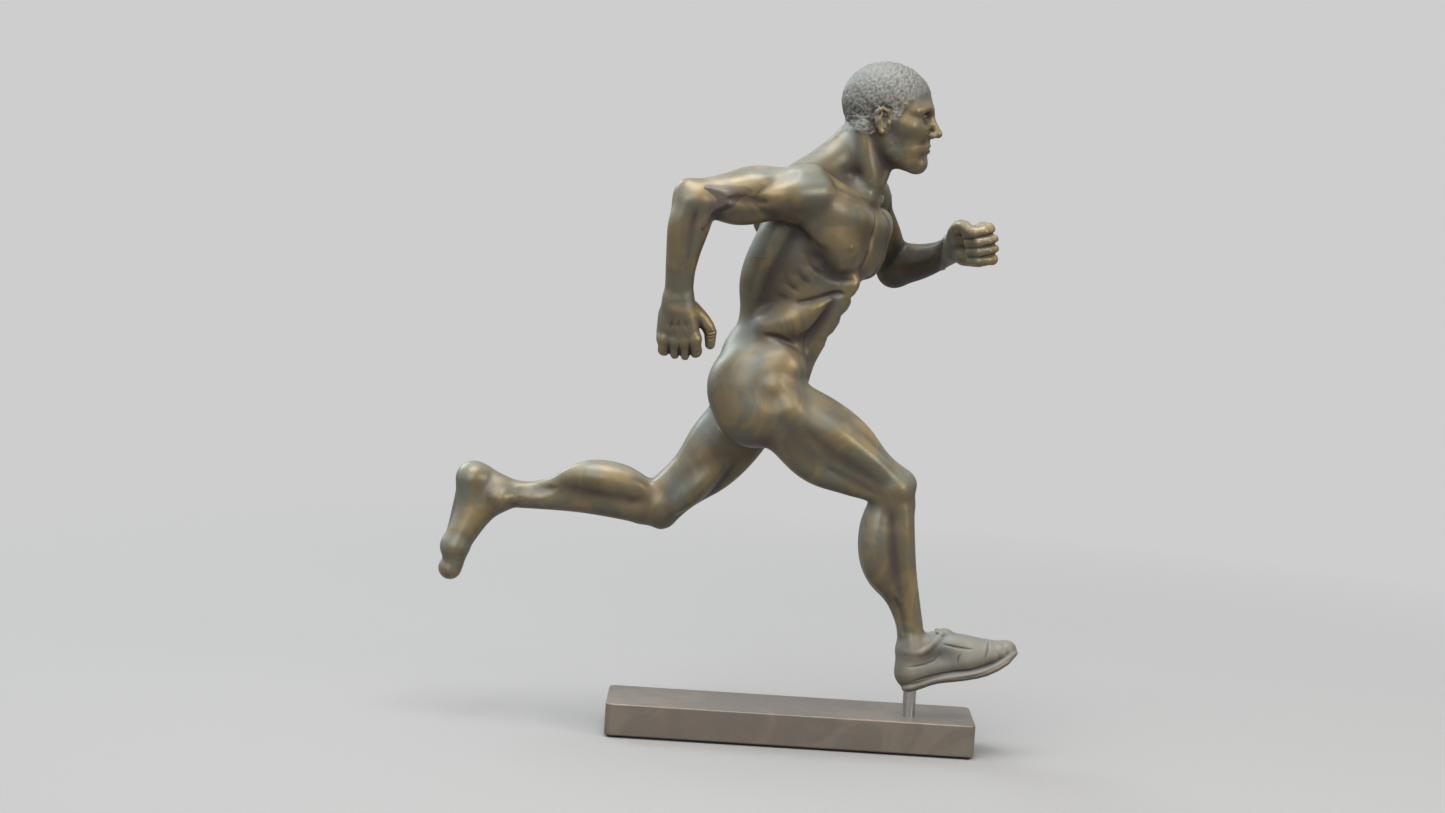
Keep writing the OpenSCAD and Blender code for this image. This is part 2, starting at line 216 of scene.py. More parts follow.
@dataclass
class Clay:
    """A block of cells that touches are worked into, and whose skin becomes a mesh."""

    low: Array
    high: Array
    cell: float
    reach: float = 6.0

    def __post_init__(self) -> None:
        """Lays out the cells on a lattice that all blocks of one cell size share."""
        first = np.floor(self.low / self.cell).astype(int)
        last = np.ceil(self.high / self.cell).astype(int)
        self.axes = [np.arange(a, b + 1) * self.cell for a, b in zip(first, last)]
        self.field = np.full([len(a) for a in self.axes], self.reach, np.float32)

    def work(self, touch: Touch) -> None:
        """Applies one touch where it can reach."""
        if touch.tool is Tool.SOFTEN:
            for _ in range(2):
                self.field = self._blurred(self.field, max(1, int(round((touch.blend / self.cell - 1) / 2))))
            return
        low, high = touch.form.bounds()
        margin = max(touch.blend, 2.0) + TOUCH_MARGIN
        spans = []
        for axis, a, b in zip(self.axes, low - margin, high + margin):
            i, j = np.searchsorted(axis, a), np.searchsorted(axis, b)
            if j - i < 2:
                return
            spans.append(slice(i, j))
        x, y, z = (self.axes[i][spans[i]].astype(np.float32) for i in range(3))
        x, y, z = x[:, None, None], y[None, :, None], z[None, None, :]
        here = self.field[tuple(spans)]
        d = touch.form.distance(x, y, z).astype(np.float32)
        k = touch.blend
        if touch.tool is Tool.ADD:
            h = np.maximum(k - np.abs(here - d), 0) / k
            new = np.minimum(here, d) - h * h * k * 0.25
        elif touch.tool is Tool.DIG:
            h = np.maximum(k - np.abs(here + d), 0) / k
            new = np.maximum(here, -d) + h * h * k * 0.25
        elif touch.tool is Tool.MARK:
            new = here - touch.height * np.square(np.clip(1 - np.square(d / (SOFT_EDGE * k)), 0, 1))
        else:
            fade = 1.0 / (1.0 + np.exp(d / k * 4.0))
            new = here - touch.height * fade * touch.pattern(x, y, z)
        self.field[tuple(spans)] = new

    @staticmethod
    def _blurred(f: Array, cells: int) -> Array:
        """Values averaged over a box of that many cells each way."""
        for axis in range(3):
            total = np.cumsum(f, axis=axis, dtype=np.float64)
            n = f.shape[axis]
            hi = np.minimum(np.arange(n) + cells, n - 1)
            lo = np.arange(n) - cells - 1
            upper = np.take(total, hi, axis=axis)
            lower = np.take(total, np.maximum(lo, 0), axis=axis)
            shape = [1, 1, 1]
            shape[axis] = n
            lower = np.where((lo < 0).reshape(shape), 0.0, lower)
            count = (hi - np.maximum(lo, -1)).reshape(shape)
            f = ((upper - lower) / count).astype(np.float32)
        return f

    def _sample(self, values: Array, points: Array) -> Array:
        """Values read between the cells at points given in cells."""
        i = np.clip(np.floor(points).astype(int), 0, np.array(values.shape) - 2)
        t = points - i
        out = np.zeros(len(points))
        for corner in np.ndindex(2, 2, 2):
            c = np.array(corner)
            weight = np.prod(np.where(c, t, 1 - t), axis=1)
            out += weight * values[tuple((i + c).T)]
        return out

    def skin(self, name: str) -> bpy.types.Mesh:
        """Casts the clay's skin.

        Args:
            name: The mesh's name.

        Returns:
            A mesh in mm whose attribute relief is above zero on crests and below it in hollows.
        """
        grid = openvdb.FloatGrid(self.reach)
        grid.copyFromArray(np.clip(self.field, -self.reach, self.reach), tolerance=0.0)
        points, quads = grid.convertToQuads(isovalue=0.0)
        mesh = bpy.data.meshes.new(name)
        mesh.vertices.add(len(points))
        mesh.loops.add(len(quads) * 4)
        mesh.polygons.add(len(quads))
        start = np.array([a[0] for a in self.axes])
        mesh.vertices.foreach_set("co", (points * self.cell + start).astype(np.float32).ravel())
        mesh.polygons.foreach_set("loop_start", np.arange(len(quads), dtype=np.int32) * 4)
        mesh.loops.foreach_set("vertex_index", quads.astype(np.int32).ravel())
        mesh.update(calc_edges=True)
        relief = np.zeros(len(points))
        near = np.clip(self.field, -3, 3)
        for width, gain in ((0.8, 2.6), (2.4, 1.0), (5.0, 0.35)):
            cells = max(1, int(round(width / self.cell)))
            relief += gain * self._sample(self._blurred(near, cells), points)
        layer = mesh.attributes.new("relief", "FLOAT", "POINT")
        layer.data.foreach_set("value", relief.astype(np.float32))
        return mesh


@dataclass
class Modeller:
    """Keeps the touches, in order, and offers each tool in a local frame."""

    touches: list[Touch] = field(default_factory=list)

    def _points(self, place: Place, points: Sequence[Point], flip: bool) -> Array:
        """Local points in the world, on the other side of the body if flip."""
        rows = [(p[0], -p[1], p[2]) if flip else p for p in points]
        return np.array([place.at(*p) for p in rows])

    def belly(self, place: Place, points: Sequence[Point], radii: Sequence[float],
              blend: float = 2.5, flat: float = 1.0, side: Optional[Point] = None,
              pair: bool = False, tool: Tool = Tool.ADD) -> None:
        """Adds or digs a roll through local points.

        Args:
            place: The frame that the points are in.
            points: Front, left and up, in mm.
            radii: The radius at each point.
            blend: How softly it melts into its surroundings.
            flat: Its thickness along side, as a share of its width.
            side: The local direction that it is pressed along.
            pair: Whether the other side of the body gets one too.
            tool: Add or dig.
        """
        for flip in ((False, True) if pair else (False,)):
            way = None
            if side is not None:
                s = (side[0], -side[1], side[2]) if flip else side
                way = unit(np.array(s, float) @ place.axes)
            p, r = smooth_path(self._points(place, points, flip), np.array(radii, float))
            self.touches.append(Touch(tool, Belly(p, r, flat, way), blend))

    def lump(self, place: Place, centre: Point, sizes: Point, blend: float = 2.5,
             tilt: float = 0.0, turn: float = 0.0, roll: float = 0.0, pair: bool = False,
             tool: Tool = Tool.ADD) -> None:
        """Adds or digs an egg; tilt, turn and roll, in degrees, are about left, up and front."""
        for flip in ((False, True) if pair else (False,)):
            s = -1.0 if flip else 1.0
            spin = (Matrix.Rotation(math.radians(tilt), 3, "Y")
                    @ Matrix.Rotation(math.radians(turn * s), 3, "Z")
                    @ Matrix.Rotation(math.radians(roll * s), 3, "X"))
            axes = np.array(spin).T @ place.axes
            origin = self._points(place, [centre], flip)[0]
            self.touches.append(Touch(tool, Lump(Place(origin, axes), np.array(sizes, float)), blend))

    def mark(self, place: Place, points: Sequence[Point], width: float, height: float,
             through: Optional[Point] = None, pair: bool = False) -> None:
        """Raises a ridge, or presses a groove if height is below zero, along local points.

        Args:
            place: The frame that the points are in.
            points: Front, left and up, in mm.
            width: How broad it is; it has faded out at SOFT_EDGE times this.
            height: How far it stands proud.
            through: The local direction into the clay, along which it reaches DEEP_MARK times as far.
            pair: Whether the other side of the body gets one too.
        """
        for flip in ((False, True) if pair else (False,)):
            way = None
            if through is not None:
                s = (through[0], -through[1], through[2]) if flip else through
                way = unit(np.array(s, float) @ place.axes)
            path = self._points(place, points, flip)
            if len(path) == 2:
                path = np.array([path[0], path.mean(0), path[1]])
            p, _ = smooth_path(path, np.full(len(path), 0.05))
            form = Mark(p, np.full(len(p), width * SOFT_EDGE), 1.0 if way is None else DEEP_MARK, way)
            self.touches.append(Touch(Tool.MARK, form, width, height))

    def soften(self, width: float) -> None:
        """Smooths everything laid on so far, over about that width."""
        self.touches.append(Touch(Tool.SOFTEN, None, width))

    def grain(self, form: object, blend: float, height: float,
              pattern: Callable[[Array, Array, Array], Array]) -> None:
        """Works a pattern into the clay inside a form."""
        self.touches.append(Touch(Tool.GRAIN, form, blend, height, pattern))


@dataclass(frozen=True)
class Mark(Belly):
    """The path of a mark: its distance is from the path itself, and grows towards its ends."""

    def distance(self, x: Array, y: Array, z: Array) -> Array:
        """How far each cell lies from the path, seen along side."""
        k, s, pts = 1.0 / self.flat - 1.0, self.side, self.points
        if s is not None:
            d = x * s[0] + y * s[1] + z * s[2]
            x, y, z = x + k * d * s[0], y + k * d * s[1], z + k * d * s[2]
            pts = pts + k * (pts @ s)[:, None] * s
        best = None
        fade = np.abs(np.linspace(-1, 1, len(pts))) ** 3 * self.radii * 0.9
        for a, b, ea, eb in zip(pts[:-1], pts[1:], fade[:-1], fade[1:]):
            ab = b - a
            t = ((x - a[0]) * ab[0] + (y - a[1]) * ab[1] + (z - a[2]) * ab[2])
            t = np.clip(t / max(float(ab @ ab), 1e-9), 0, 1)
            d = np.sqrt((x - a[0] - t * ab[0]) ** 2 + (y - a[1] - t * ab[1]) ** 2
                        + (z - a[2] - t * ab[2]) ** 2) + ea + (eb - ea) * t
            best = d if best is None else np.minimum(best, d)
        return best


# ---- the figure -------------------------------------------------------------------------------


@dataclass(frozen=True)
class Limb:
    """A stretch of arm or leg: rows of it are (share of the length, front, outwards)."""

    start: Array
    end: Array
    place: Place

    @staticmethod
    def between(start: Point, end: Point, front: Point, side: float) -> "Limb":
        """A limb whose front is as near to front as it can be; side is +1 on the right."""
        a, b = np.array(start, float), np.array(end, float)
        axis = unit(b - a)
        f = np.array(front, float)
        f = unit(f - (f @ axis) * axis)
        return Limb(a, b, Place(a, np.array([f, np.cross(axis, f) * side, axis])))

    def path(self, rows: Sequence[Point]) -> list[Point]:
        """Rows of (share, front, outwards) as local points of the limb's frame."""
        length = float(np.linalg.norm(self.end - self.start))
        return [(f, o, t * length) for t, f, o in rows]

    def at(self, share: float, front: float = 0.0, out: float = 0.0) -> Array:
        """The world point of one row."""
        return self.place.at(*self.path([(share, front, out)])[0])


WORLD = Place(vec(0, 0, 0), np.eye(3))


@dataclass
class Skeleton:
    """Where the runner's joints are, in mm, and the frames of the trunk, head and feet."""

    right_hip: Array = field(default_factory=lambda: vec(-16.5, -15, 157.5))
    right_knee: Array = field(default_factory=lambda: vec(40.5, -12.3, 121.8))
    right_ankle: Array = field(default_factory=lambda: vec(55, -7.3, 47.3))
    left_hip: Array = field(default_factory=lambda: vec(-22.5, 15, 156))
    left_knee: Array = field(default_factory=lambda: vec(-67, 17.2, 102.8))
    left_ankle: Array = field(default_factory=lambda: vec(-141.2, 13.3, 104.3))
    right_shoulder: Array = field(default_factory=lambda: vec(-10, -31, 254))
    right_elbow: Array = field(default_factory=lambda: vec(-59.1, -44.2, 249.7))
    right_wrist: Array = field(default_factory=lambda: vec(-62.5, -39.1, 201.1))
    left_shoulder: Array = field(default_factory=lambda: vec(18, 35, 257))
    left_elbow: Array = field(default_factory=lambda: vec(37.7, 60.5, 217.5))
    left_wrist: Array = field(default_factory=lambda: vec(65.2, 23, 232.8))
    chest: Place = field(default_factory=lambda: Place.facing(
        (-1, 0, 232), (0.33, 0, 0.944), (0.838, -0.458, -0.293)))
    pelvis: Place = field(default_factory=lambda: Place.facing(
        (-23, 0, 172), (0.15, 0, 0.99), (0.98, 0.196, 0)))
    head: Place = field(default_factory=lambda: Place.facing((28, -2, 291), (0.02, 0, 1), (1, -0.1, 0)))
    shoe: Place = field(default_factory=lambda: Place.facing(
        (48.5, -7.4, 25.7), (-0.2756, 0, 0.961), (0.961, 0, 0.2756)))
    foot: Place = field(default_factory=lambda: Place.facing(
        (-160.4, 13, 119.8), (0.9925, 0, -0.122), (-0.122, 0, -0.9925)))

    def limbs(self) -> dict[str, Limb]:
        """The eight limbs, each with its front towards the way its joint folds."""
        out = {}
        for name, side in (("right", 1.0), ("left", -1.0)):
            hip, knee, ankle = (getattr(self, f"{name}_{j}") for j in ("hip", "knee", "ankle"))
            thigh, shin = knee - hip, ankle - knee
            out[f"{name}_thigh"] = Limb.between(hip, knee, (-thigh[2], 0, thigh[0]), side)
            out[f"{name}_shin"] = Limb.between(knee, ankle, (-shin[2], 0, shin[0]), side)
            shoulder, elbow, wrist = (getattr(self, f"{name}_{j}") for j in ("shoulder", "elbow", "wrist"))
            out[f"{name}_arm"] = Limb.between(shoulder, elbow, wrist - elbow, side)
            out[f"{name}_forearm"] = Limb.between(elbow, wrist, shoulder - elbow, side)
        return out


@dataclass
class Body:
    """The runner's muscles, laid on in order from the inside out."""

    bones: Skeleton
    clay: Modeller = field(default_factory=Modeller)

    def __post_init__(self) -> None:
        """Lays the whole body on."""
        self.limbs = self.bones.limbs()
        self.trunk()
        for name in ("right", "left"):
            self.thigh(name)
            self.shin(name)
            self.arm(name)
            self.forearm(name)
        self.trunk_forms()
        self.clay.soften(ROUNDING)
        self.trunk_marks()
        self.limb_marks()

    def roll(self, limb: Limb, rows: Sequence[Point], radii: Sequence[float], blend: float = 2.0,
             flat: float = 1.0, side: Optional[Point] = None, tool: Tool = Tool.ADD) -> None:
        """A muscle along a limb; side is given as (front, outwards, along)."""
        self.clay.belly(limb.place, limb.path(rows), radii, blend, flat, side, tool=tool)

    def trunk(self) -> None:
        """The rib cage, belly, hips and shoulder girdle, with their large muscles."""
        c, p, w, add = self.bones.chest, self.bones.pelvis, WORLD, self.clay
        add.lump(c, (0.5, 0, -1), (20.5, 28.5, 34), 4)
        add.belly(w, [(-4.5, -1, 219), (-8, -1, 208), (-9.5, 0, 199), (-14.5, 0, 190), (-20, 0, 180),
                      (-23, 0, 169)], [21.6, 20, 17.6, 17.8, 20, 20], 8)
        add.lump(w, (-22, 0, 172), (19, 24.5, 16), 6)
        # shoulder girdle and neck
        add.belly(w, [(-9, -27, 251), (4, 0, 248), (14, 29, 253)], [9.5, 13, 9.5], 8)
        add.belly(w, [(2, -1, 258), (12, -1.5, 270)], [11.5, 9], 8)
        add.belly(w, [(12, -1.2, 254), (17.5, -1.6, 268), (23.5, -2, 284)], [11.2, 10.6, 11], 5)
        add.belly(w, [(9.5, -5, 279), (1, -9, 268.5), (-12, -22, 260)], [6.4, 8.2, 8], 5)
        add.belly(w, [(9, 4, 278), (6, 13, 268), (7, 27, 263)], [6, 7.5, 7.5], 5)
        # back: broad muscles under the arms, shoulder blades and the two columns by the spine
        add.belly(c, [(-6, 29, 12), (-9, 29, -6), (-13, 22, -25), (-12, 12, -42)],
                  [8, 9, 8, 5.4], 5, 0.62, (0.5, -0.8, 0), pair=True)
        add.lump(c, (-20, 18, 7), (7, 11, 15), 4, roll=-12, pair=True)
        add.belly(c, [(-17, 6, 12), (-17.5, 6, -8), (-16, 6, -26)], [5.5, 6, 6.5], 4, pair=True)
        add.belly(w, [(-25, -7, 211), (-21, -6.5, 199), (-25, -6.5, 189), (-33, -7, 180)],
                  [5.8, 6, 6.4, 7], 4)
        add.belly(w, [(-23, 6, 209), (-21.5, 6.5, 199), (-25.5, 6.5, 189), (-33, 6, 180)],
                  [5.8, 6, 6.4, 7], 4)
        # seat
        add.lump(w, (-30, -15.5, 164.5), (17.5, 15, 19), 5, tilt=20)
        add.lump(w, (-26, -16, 152), (16, 14.5, 15), 6)
        add.lump(w, (-32.5, 13.5, 165), (14.5, 14, 18), 5, tilt=30)
        add.lump(p, (4, 20, 4), (11, 7.5, 10), 5, pair=True)
        # chest muscles: an upper fan from the collarbone and a lower one, each reaching the arm
        add.belly(c, [(18.5, 5, 15), (18.5, 14, 15), (12, 26, 16), (2, 34, 14)],
                  [7.5, 9, 9, 7], 4, 0.7, (1, 0, 0.1), pair=True)
        add.belly(c, [(19.6, 4.6, 4), (19.6, 14, 3), (14.4, 24, 7), (4, 33, 11)],
                  [8, 9.6, 8.8, 6], 4, 0.7, (1, 0, 0.1), pair=True)
        add.belly(c, [(19.6, 5.5, -1.5), (19.2, 15, -2.5), (14, 23.5, 1.5)], [5.6, 6.4, 5], 3, pair=True)

    def trunk_forms(self) -> None:
        """The smaller forms that stand out on the trunk and neck."""
        c, w, add = self.bones.chest, WORLD, self.clay
        add.belly(w, [(-2, -16.5, 204), (-11, -17.5, 197), (-21, -16, 193.5)], [6, 8, 6.5], 4)
        add.belly(w, [(-4, 16.5, 204), (-14, 17.5, 197), (-23, 16, 193.5)], [6, 8, 6.5], 4)
        add.belly(c, [(21, 3, -10), (18.5, 9, -15), (14, 15, -20), (9, 19, -25)],
                  [3, 3, 3, 2.6], 3, pair=True)
        for s in (-1, 1):
            add.belly(w, [(14.6, -9.2 + s * 5, 215), (8.2, -7 + s * 5.2, 203), (2.2, -4.6 + s * 5.2, 192),
                          (-3.6, -2.6 + s * 4.8, 180), (-9, -1 + s * 3.4, 168)], [4.6, 5.6, 5.6, 5.4, 4.6], 3)
        add.belly(w, [(-9, -9, 171), (-12, -4.5, 163.5), (-14, 0, 159)], [5, 5, 5], 6)
        add.belly(w, [(-10, 7, 171), (-13, 4, 163.5), (-14, 0, 159)], [5, 5, 5], 6)
        # collarbones and the hollows above them
        add.belly(c, [(16.2, -3.6, 26), (15.6, -11, 27), (10.4, -20, 27.5), (3, -28, 28)],
                  [2.5, 2.1, 2.2, 3], 2)
        add.belly(c, [(16.2, 3.6, 26), (15.6, 11, 27.8), (9.4, 20, 31), (-2, 29, 36)],
                  [2.5, 2.1, 2.2, 3], 2)
        add.lump(c, (9, -12, 34), (2.6, 5, 3), 5, tool=Tool.DIG)
        add.lump(c, (9, 12, 35), (2.6, 5, 3), 5, tool=Tool.DIG)
        add.lump(c, (20, 0, 30), (2.2, 2.2, 2.8), 3, tool=Tool.DIG)
        # the neck's two straps and the throat
        add.belly(w, [(21.5, -8.2, 253), (20.5, -10, 263), (17, -11.2, 274), (16, -11.5, 285)],
                  [2.4, 3.4, 4, 4], 2.5)
        add.belly(w, [(22.5, -4.6, 253.5), (24, 2.4, 263), (22, 6.6, 274), (19, 8.5, 285)],
                  [2.4, 3.4, 4, 4], 2.5)
        add.belly(w, [(24.6, -5, 260), (26.8, -4, 266)], [3.2, 3], 3)

    def trunk_marks(self) -> None:
        """The ridges and creases on the trunk's skin."""
        c, w, add = self.bones.chest, WORLD, self.clay
        into = (1, 0, 0)
        # fingers of muscle on the ribs
        for i in range(4):
            f, l, u = 14 - 2.6 * i, 22 + 1.3 * i, -8.5 - 5.6 * i
            add.mark(c, [(f + 4, l - 4, u - 2.6), (f - 4, l + 3, u + 2)], 2.3, 0.55, (0.6, 0.8, 0), pair=True)
            add.mark(c, [(f + 4, l - 4, u - 5.4), (f - 4, l + 3, u - 0.8)], 1.3, -0.3, (0.6, 0.8, 0),
                     pair=True)
        # belly muscles: a middle line, three cross lines and the side edges
        add.mark(w, [(21, -12, 216), (15, -10, 204), (9, -7.5, 193), (2, -4, 178), (-4, -2, 168)],
                 1.9, -0.9, (1, -0.3, 0.2))
        for (x, y, z), drop in (((16.5, -9.5, 208), 1.5), ((11, -7.5, 198.5), 0.6), ((6, -5.5, 188), 0)):
            add.mark(w, [(x - 1, y - 10, z - drop), (x, y - 5, z + 0.6), (x + 0.6, y, z - 0.4),
                         (x + 0.4, y + 5, z + 0.6), (x - 1, y + 10, z - drop)], 1.9, -1.2, (1, -0.3, 0.2))
        for s in (-1, 1):
            add.mark(w, [(12, -8 + s * 12.5, 209), (6, -6.6 + s * 12.5, 200), (0, -4.6 + s * 12, 191),
                         (-5.5, -2.6 + s * 10.5, 181)], 2.4, -0.9, (0.8, 0.6 * s, 0))
        # breastbone and the lower edge of the chest muscles
        add.mark(c, [(24, 0, 25), (27, 0, 8), (26, 0, -7)], 1.8, -1.2, into)
        add.mark(c, [(24, 3.2, -9), (27, 10, -10.4), (26, 17, -9.2), (20, 24, -5), (10, 31, 1)],
                 2.0, -0.9, (0.9, 0, 0.3), pair=True)
        add.mark(c, [(24, 19, 3.9), (24.2, 19, 4)], 0.8, 0.5, into, pair=True)
        # arch of the ribs over the belly
        add.mark(c, [(23, 4, -15), (20, 10, -19.5), (15, 16, -25), (9, 21, -30)], 1.8, -1.0, (1, 0.3, 0),
                 pair=True)
        # spine furrow and the shoulder blades' inner edges
        add.mark(c, [(-26, 0, 26), (-26, 0, 5), (-25, 0, -20)], 2.4, -1.7, into)
        add.mark(w, [(-34, -0.5, 207), (-37, -0.5, 195), (-42, -1, 182)], 2.6, -1.8, into)
        add.mark(c, [(-22, 9, 20), (-24, 8.5, 8), (-22, 13, -6)], 1.8, -0.9, into, pair=True)
        add.mark(w, [(-48, -1, 178), (-50, -1, 165), (-44, -1, 150), (-30, -0.5, 141)], 2.4, -3.4, into)
        # crease over the hip bones
        add.mark(w, [(-27, -27, 189.5), (-17, -27, 189), (-7, -25, 184.5), (-3, -18, 179)], 1.5, -1.1,
                 (0.4, -1, 0))
        add.mark(w, [(-27, 27, 189.5), (-18, 27, 188.5), (-9, 25, 184), (-5, 18, 178)], 1.5, -1.1,
                 (0.4, 1, 0))
        # hollow at the side of the seat
        add.mark(w, [(-19, -30, 166), (-13, -30, 160)], 5.5, -1.2, (0, 1, 0))
        add.mark(w, [(-30, 30, 170), (-26, 30, 162)], 5.5, -1.2, (0, 1, 0))

    def thigh(self, name: str) -> None:
        """A thigh: the four-headed muscle in front, the hamstrings behind and the knee."""
        l = self.limbs[f"{name}_thigh"]
        raised = name == "right"
        back, thick, wide = (12.0, 8.4, 1.0) if raised else (7.6, 6.8, 0.92)
        roll = self.roll
        roll(l, [(0, -1, 0), (0.45, -2.5 if raised else 1.0, 0), (1, -0.5, 0)],
             [15.5 * wide, 13.6 * wide, 9], 5)
        roll(l, [(0.02, -2, -5), (0.3, -2, -6), (0.65, 0, -3)], [9.5, 9.5, 5.5], 5)
        roll(l, [(0.02, -6, 3), (0.41, -back, 4), (0.68, 2.6 - back, 5), (0.9, -7.2, 6), (1.06, -6, 6.3)],
             [9, thick, thick - 1.9, 3.4, 2], 2.4)
        roll(l, [(0.02, -6, -3), (0.41, -back, -3), (0.68, 2.6 - back, -4), (0.92, -7.2, -5.2),
                 (1.08, -6, -5.5)], [9, thick - 0.4, thick - 2.2, 3, 1.8], 2.4)
        roll(l, [(-0.05, 6, 3), (0.3, 9.3, 1), (0.57, 9.8, 0.6), (0.82, 8.2, 0), (0.96, 8, 0)],
             [8, 8.4, 7.2, 3.6, 2.6], 3.4)
        roll(l, [(0.08, 2.5, 7.5), (0.4, 4.6, 8), (0.7, 4.8, 7), (0.92, 4.2, 6)],
             [7, 8.6 * wide, 6.6, 3], 3.4)
        roll(l, [(0.35, 4.5, -6), (0.7, 5.4, -6.8), (0.9, 4.6, -6.5), (0.98, 3, -6)],
             [5.5, 7, 4.6, 2.6], 1.9)
        roll(l, [(-0.08, 7, 10), (0.1, 3.5, 11), (0.22, 0.5, 12)], [5.5, 5.4, 3], 3)
        roll(l, [(0.97, -1.5, 4.6), (1.0, 1.5, 4.8)], [4.6, 4.2], 3)
        roll(l, [(0.97, -1.5, -4.8), (1.0, 1.5, -5)], [4.6, 4.2], 3)
        # the kneecap lies in front of the fold, between thigh and shin
        shin = self.limbs[f"{name}_shin"]
        fold = unit(l.place.axes[0] + shin.place.axes[0])
        cap = Place.facing(l.end + fold * 7.9, unit(shin.place.axes[2] + l.place.axes[2]), fold)
        self.clay.lump(cap, (0, 0, 0), (3.1, 4.6, 5.2), 1.6)

    def shin(self, name: str) -> None:
        """A lower leg: the shin's edge, the two-headed calf and the tendon to the heel."""
        l = self.limbs[f"{name}_shin"]
        roll = self.roll
        roll(l, [(0.0, 0, 0), (0.15, 0, 0), (0.45, -1, 0), (0.75, 0, 0), (1, 0, 0)],
             [8.6, 8, 7, 5.4, 5.4], 4)
        roll(l, [(0.05, -6, 4.2), (0.22, -10.2, 4.6), (0.38, -12, 4.6), (0.5, -11.4, 4), (0.62, -8, 2.6)],
             [4.5, 7.2, 7.4, 6, 2.8], 2.8)
        roll(l, [(0.05, -6, -4.2), (0.22, -10.4, -4.4), (0.4, -12.3, -4.4), (0.54, -11.4, -3.4),
                 (0.67, -7.5, -2)],
             [4.5, 7.2, 7.6, 5.8, 2.6], 2.4)
        roll(l, [(0.25, -5, 0), (0.5, -6, 0), (0.72, -4.3, 0), (0.86, -3.9, 0), (1.0, -5.2, 0)],
             [8, 7, 4.6, 2.9, 2.9], 2.6)
        roll(l, [(0.12, 2, 5), (0.32, 1.2, 5), (0.6, 0.8, 3.2), (0.85, 2.2, 1)], [3.8, 4.8, 3.6, 2], 2.8)
        roll(l, [(0.1, 6, -1), (0.3, 3.2, -1.4), (0.6, 2.2, -1.2), (0.9, 3.2, -0.6)], [2.6, 2.4, 2.2, 2.2],
             1.8)
        roll(l, [(0.02, 5.6, 0), (0.12, 6.2, -0.4)], [2.6, 2.4], 2)
        roll(l, [(0.06, -1, 6.4), (0.12, -1.5, 6)], [2.8, 2], 2)
        roll(l, [(0.93, -0.8, 4.9), (1.01, -1.0, 5.6)], [2.2, 2.6], 2)
        roll(l, [(0.91, 0.2, -4.9), (0.98, 0.4, -5.8)], [2.2, 2.7], 2)

    def arm(self, name: str) -> None:
        """An upper arm: the three-part shoulder cap, biceps and triceps."""
        l = self.limbs[f"{name}_arm"]
        roll = self.roll
        roll(l, [(0, 0, 0), (0.35, 0, 0), (0.7, 0, 0), (1, 0, 0)], [10.6, 10, 9, 7.4], 4)
        roll(l, [(-0.1, -1, 3), (0.12, -1, 5.2), (0.32, -0.8, 6), (0.5, -0.5, 4.8)], [8.4, 8.6, 6.4, 2.6], 2)
        roll(l, [(-0.08, 6, 0), (0.12, 6.2, 2.5), (0.3, 3.6, 4.8), (0.46, 1, 5.6)], [6.6, 6.6, 5, 2.4], 2)
        roll(l, [(-0.08, -6.5, 0), (0.12, -6.2, 2.5), (0.3, -3.8, 4.6), (0.46, -1, 5.4)], [6.8, 6.6, 5, 2.4],
             2)
        lean = 0.0 if name == "right" else -2.4
        roll(l, [(0.16, 4.6 + lean, -1), (0.4, 5.6 + lean, 0), (0.62, 6 + lean, 0), (0.84, 4.2 + lean / 2, 0),
                 (0.98, 3, 0)],
             [5.2, 7, 7, 4.8, 3], 2.2)
        roll(l, [(0.5, 1.2, 4.4), (0.8, 1.8, 4.6), (0.98, 1.2, 4)], [3.6, 4.2, 4], 2.5)
        roll(l, [(0.1, -4.5, -3.5), (0.42, -5.8, -3.2), (0.66, -5, -2.4), (0.96, -3.2, 0)],
             [6.4, 7.2, 5.4, 3.6], 2.2)
        roll(l, [(0.22, -4.6, 3), (0.44, -5.4, 3.8), (0.64, -4.6, 3), (0.8, -3.8, 1.6)],
             [5, 6.2, 4.6, 3], 2.2)
        roll(l, [(0.98, 0, 4.8), (0.98, 0, -4.8)], [3.4, 3.4], 3)
        roll(l, [(0.98, -3.2, 0.2), (1.06, -4.8, 0.2)], [3.4, 3.4], 2)

    def forearm(self, name: str) -> None:
        """A forearm, round below the elbow and flat at the wrist."""
        l = self.limbs[f"{name}_forearm"]
        roll = self.roll
        roll(l, [(0, -0.5, 0), (0.4, -0.8, 0), (0.8, -0.8, 0), (1, -0.6, 0)], [7.6, 7.8, 6, 5.4], 4)
        roll(l, [(0.0, 2.5, 4.2), (0.16, 4.4, 3.8), (0.34, 3.4, 3), (0.6, 1.8, 2.2)], [4, 5, 4.4, 2.6], 2.4)
        roll(l, [(0.02, -3.8, 4), (0.24, -5.2, 3.4), (0.5, -4.4, 2.8), (0.82, -2.6, 1.8)],
             [4, 5.2, 4.4, 2.6], 2)
        roll(l, [(0.0, 1.5, -4), (0.24, 2.2, -4), (0.5, 1, -3), (0.8, 0.6, -1.8)], [4, 5.4, 4.4, 2.8], 1.8)
        roll(l, [(0.02, -4.8, -0.5), (0.45, -5, -1.2), (0.94, -3.8, -0.6)], [3, 2.8, 2.6], 1.8)
        roll(l, [(0.8, 2, 0.6), (1.02, 3.2, 0)], [3, 3.6], 2.5)
        roll(l, [(0.88, -3.4, 1.4), (0.97, -3.8, 1.6)], [1.8, 2.4], 1.6)

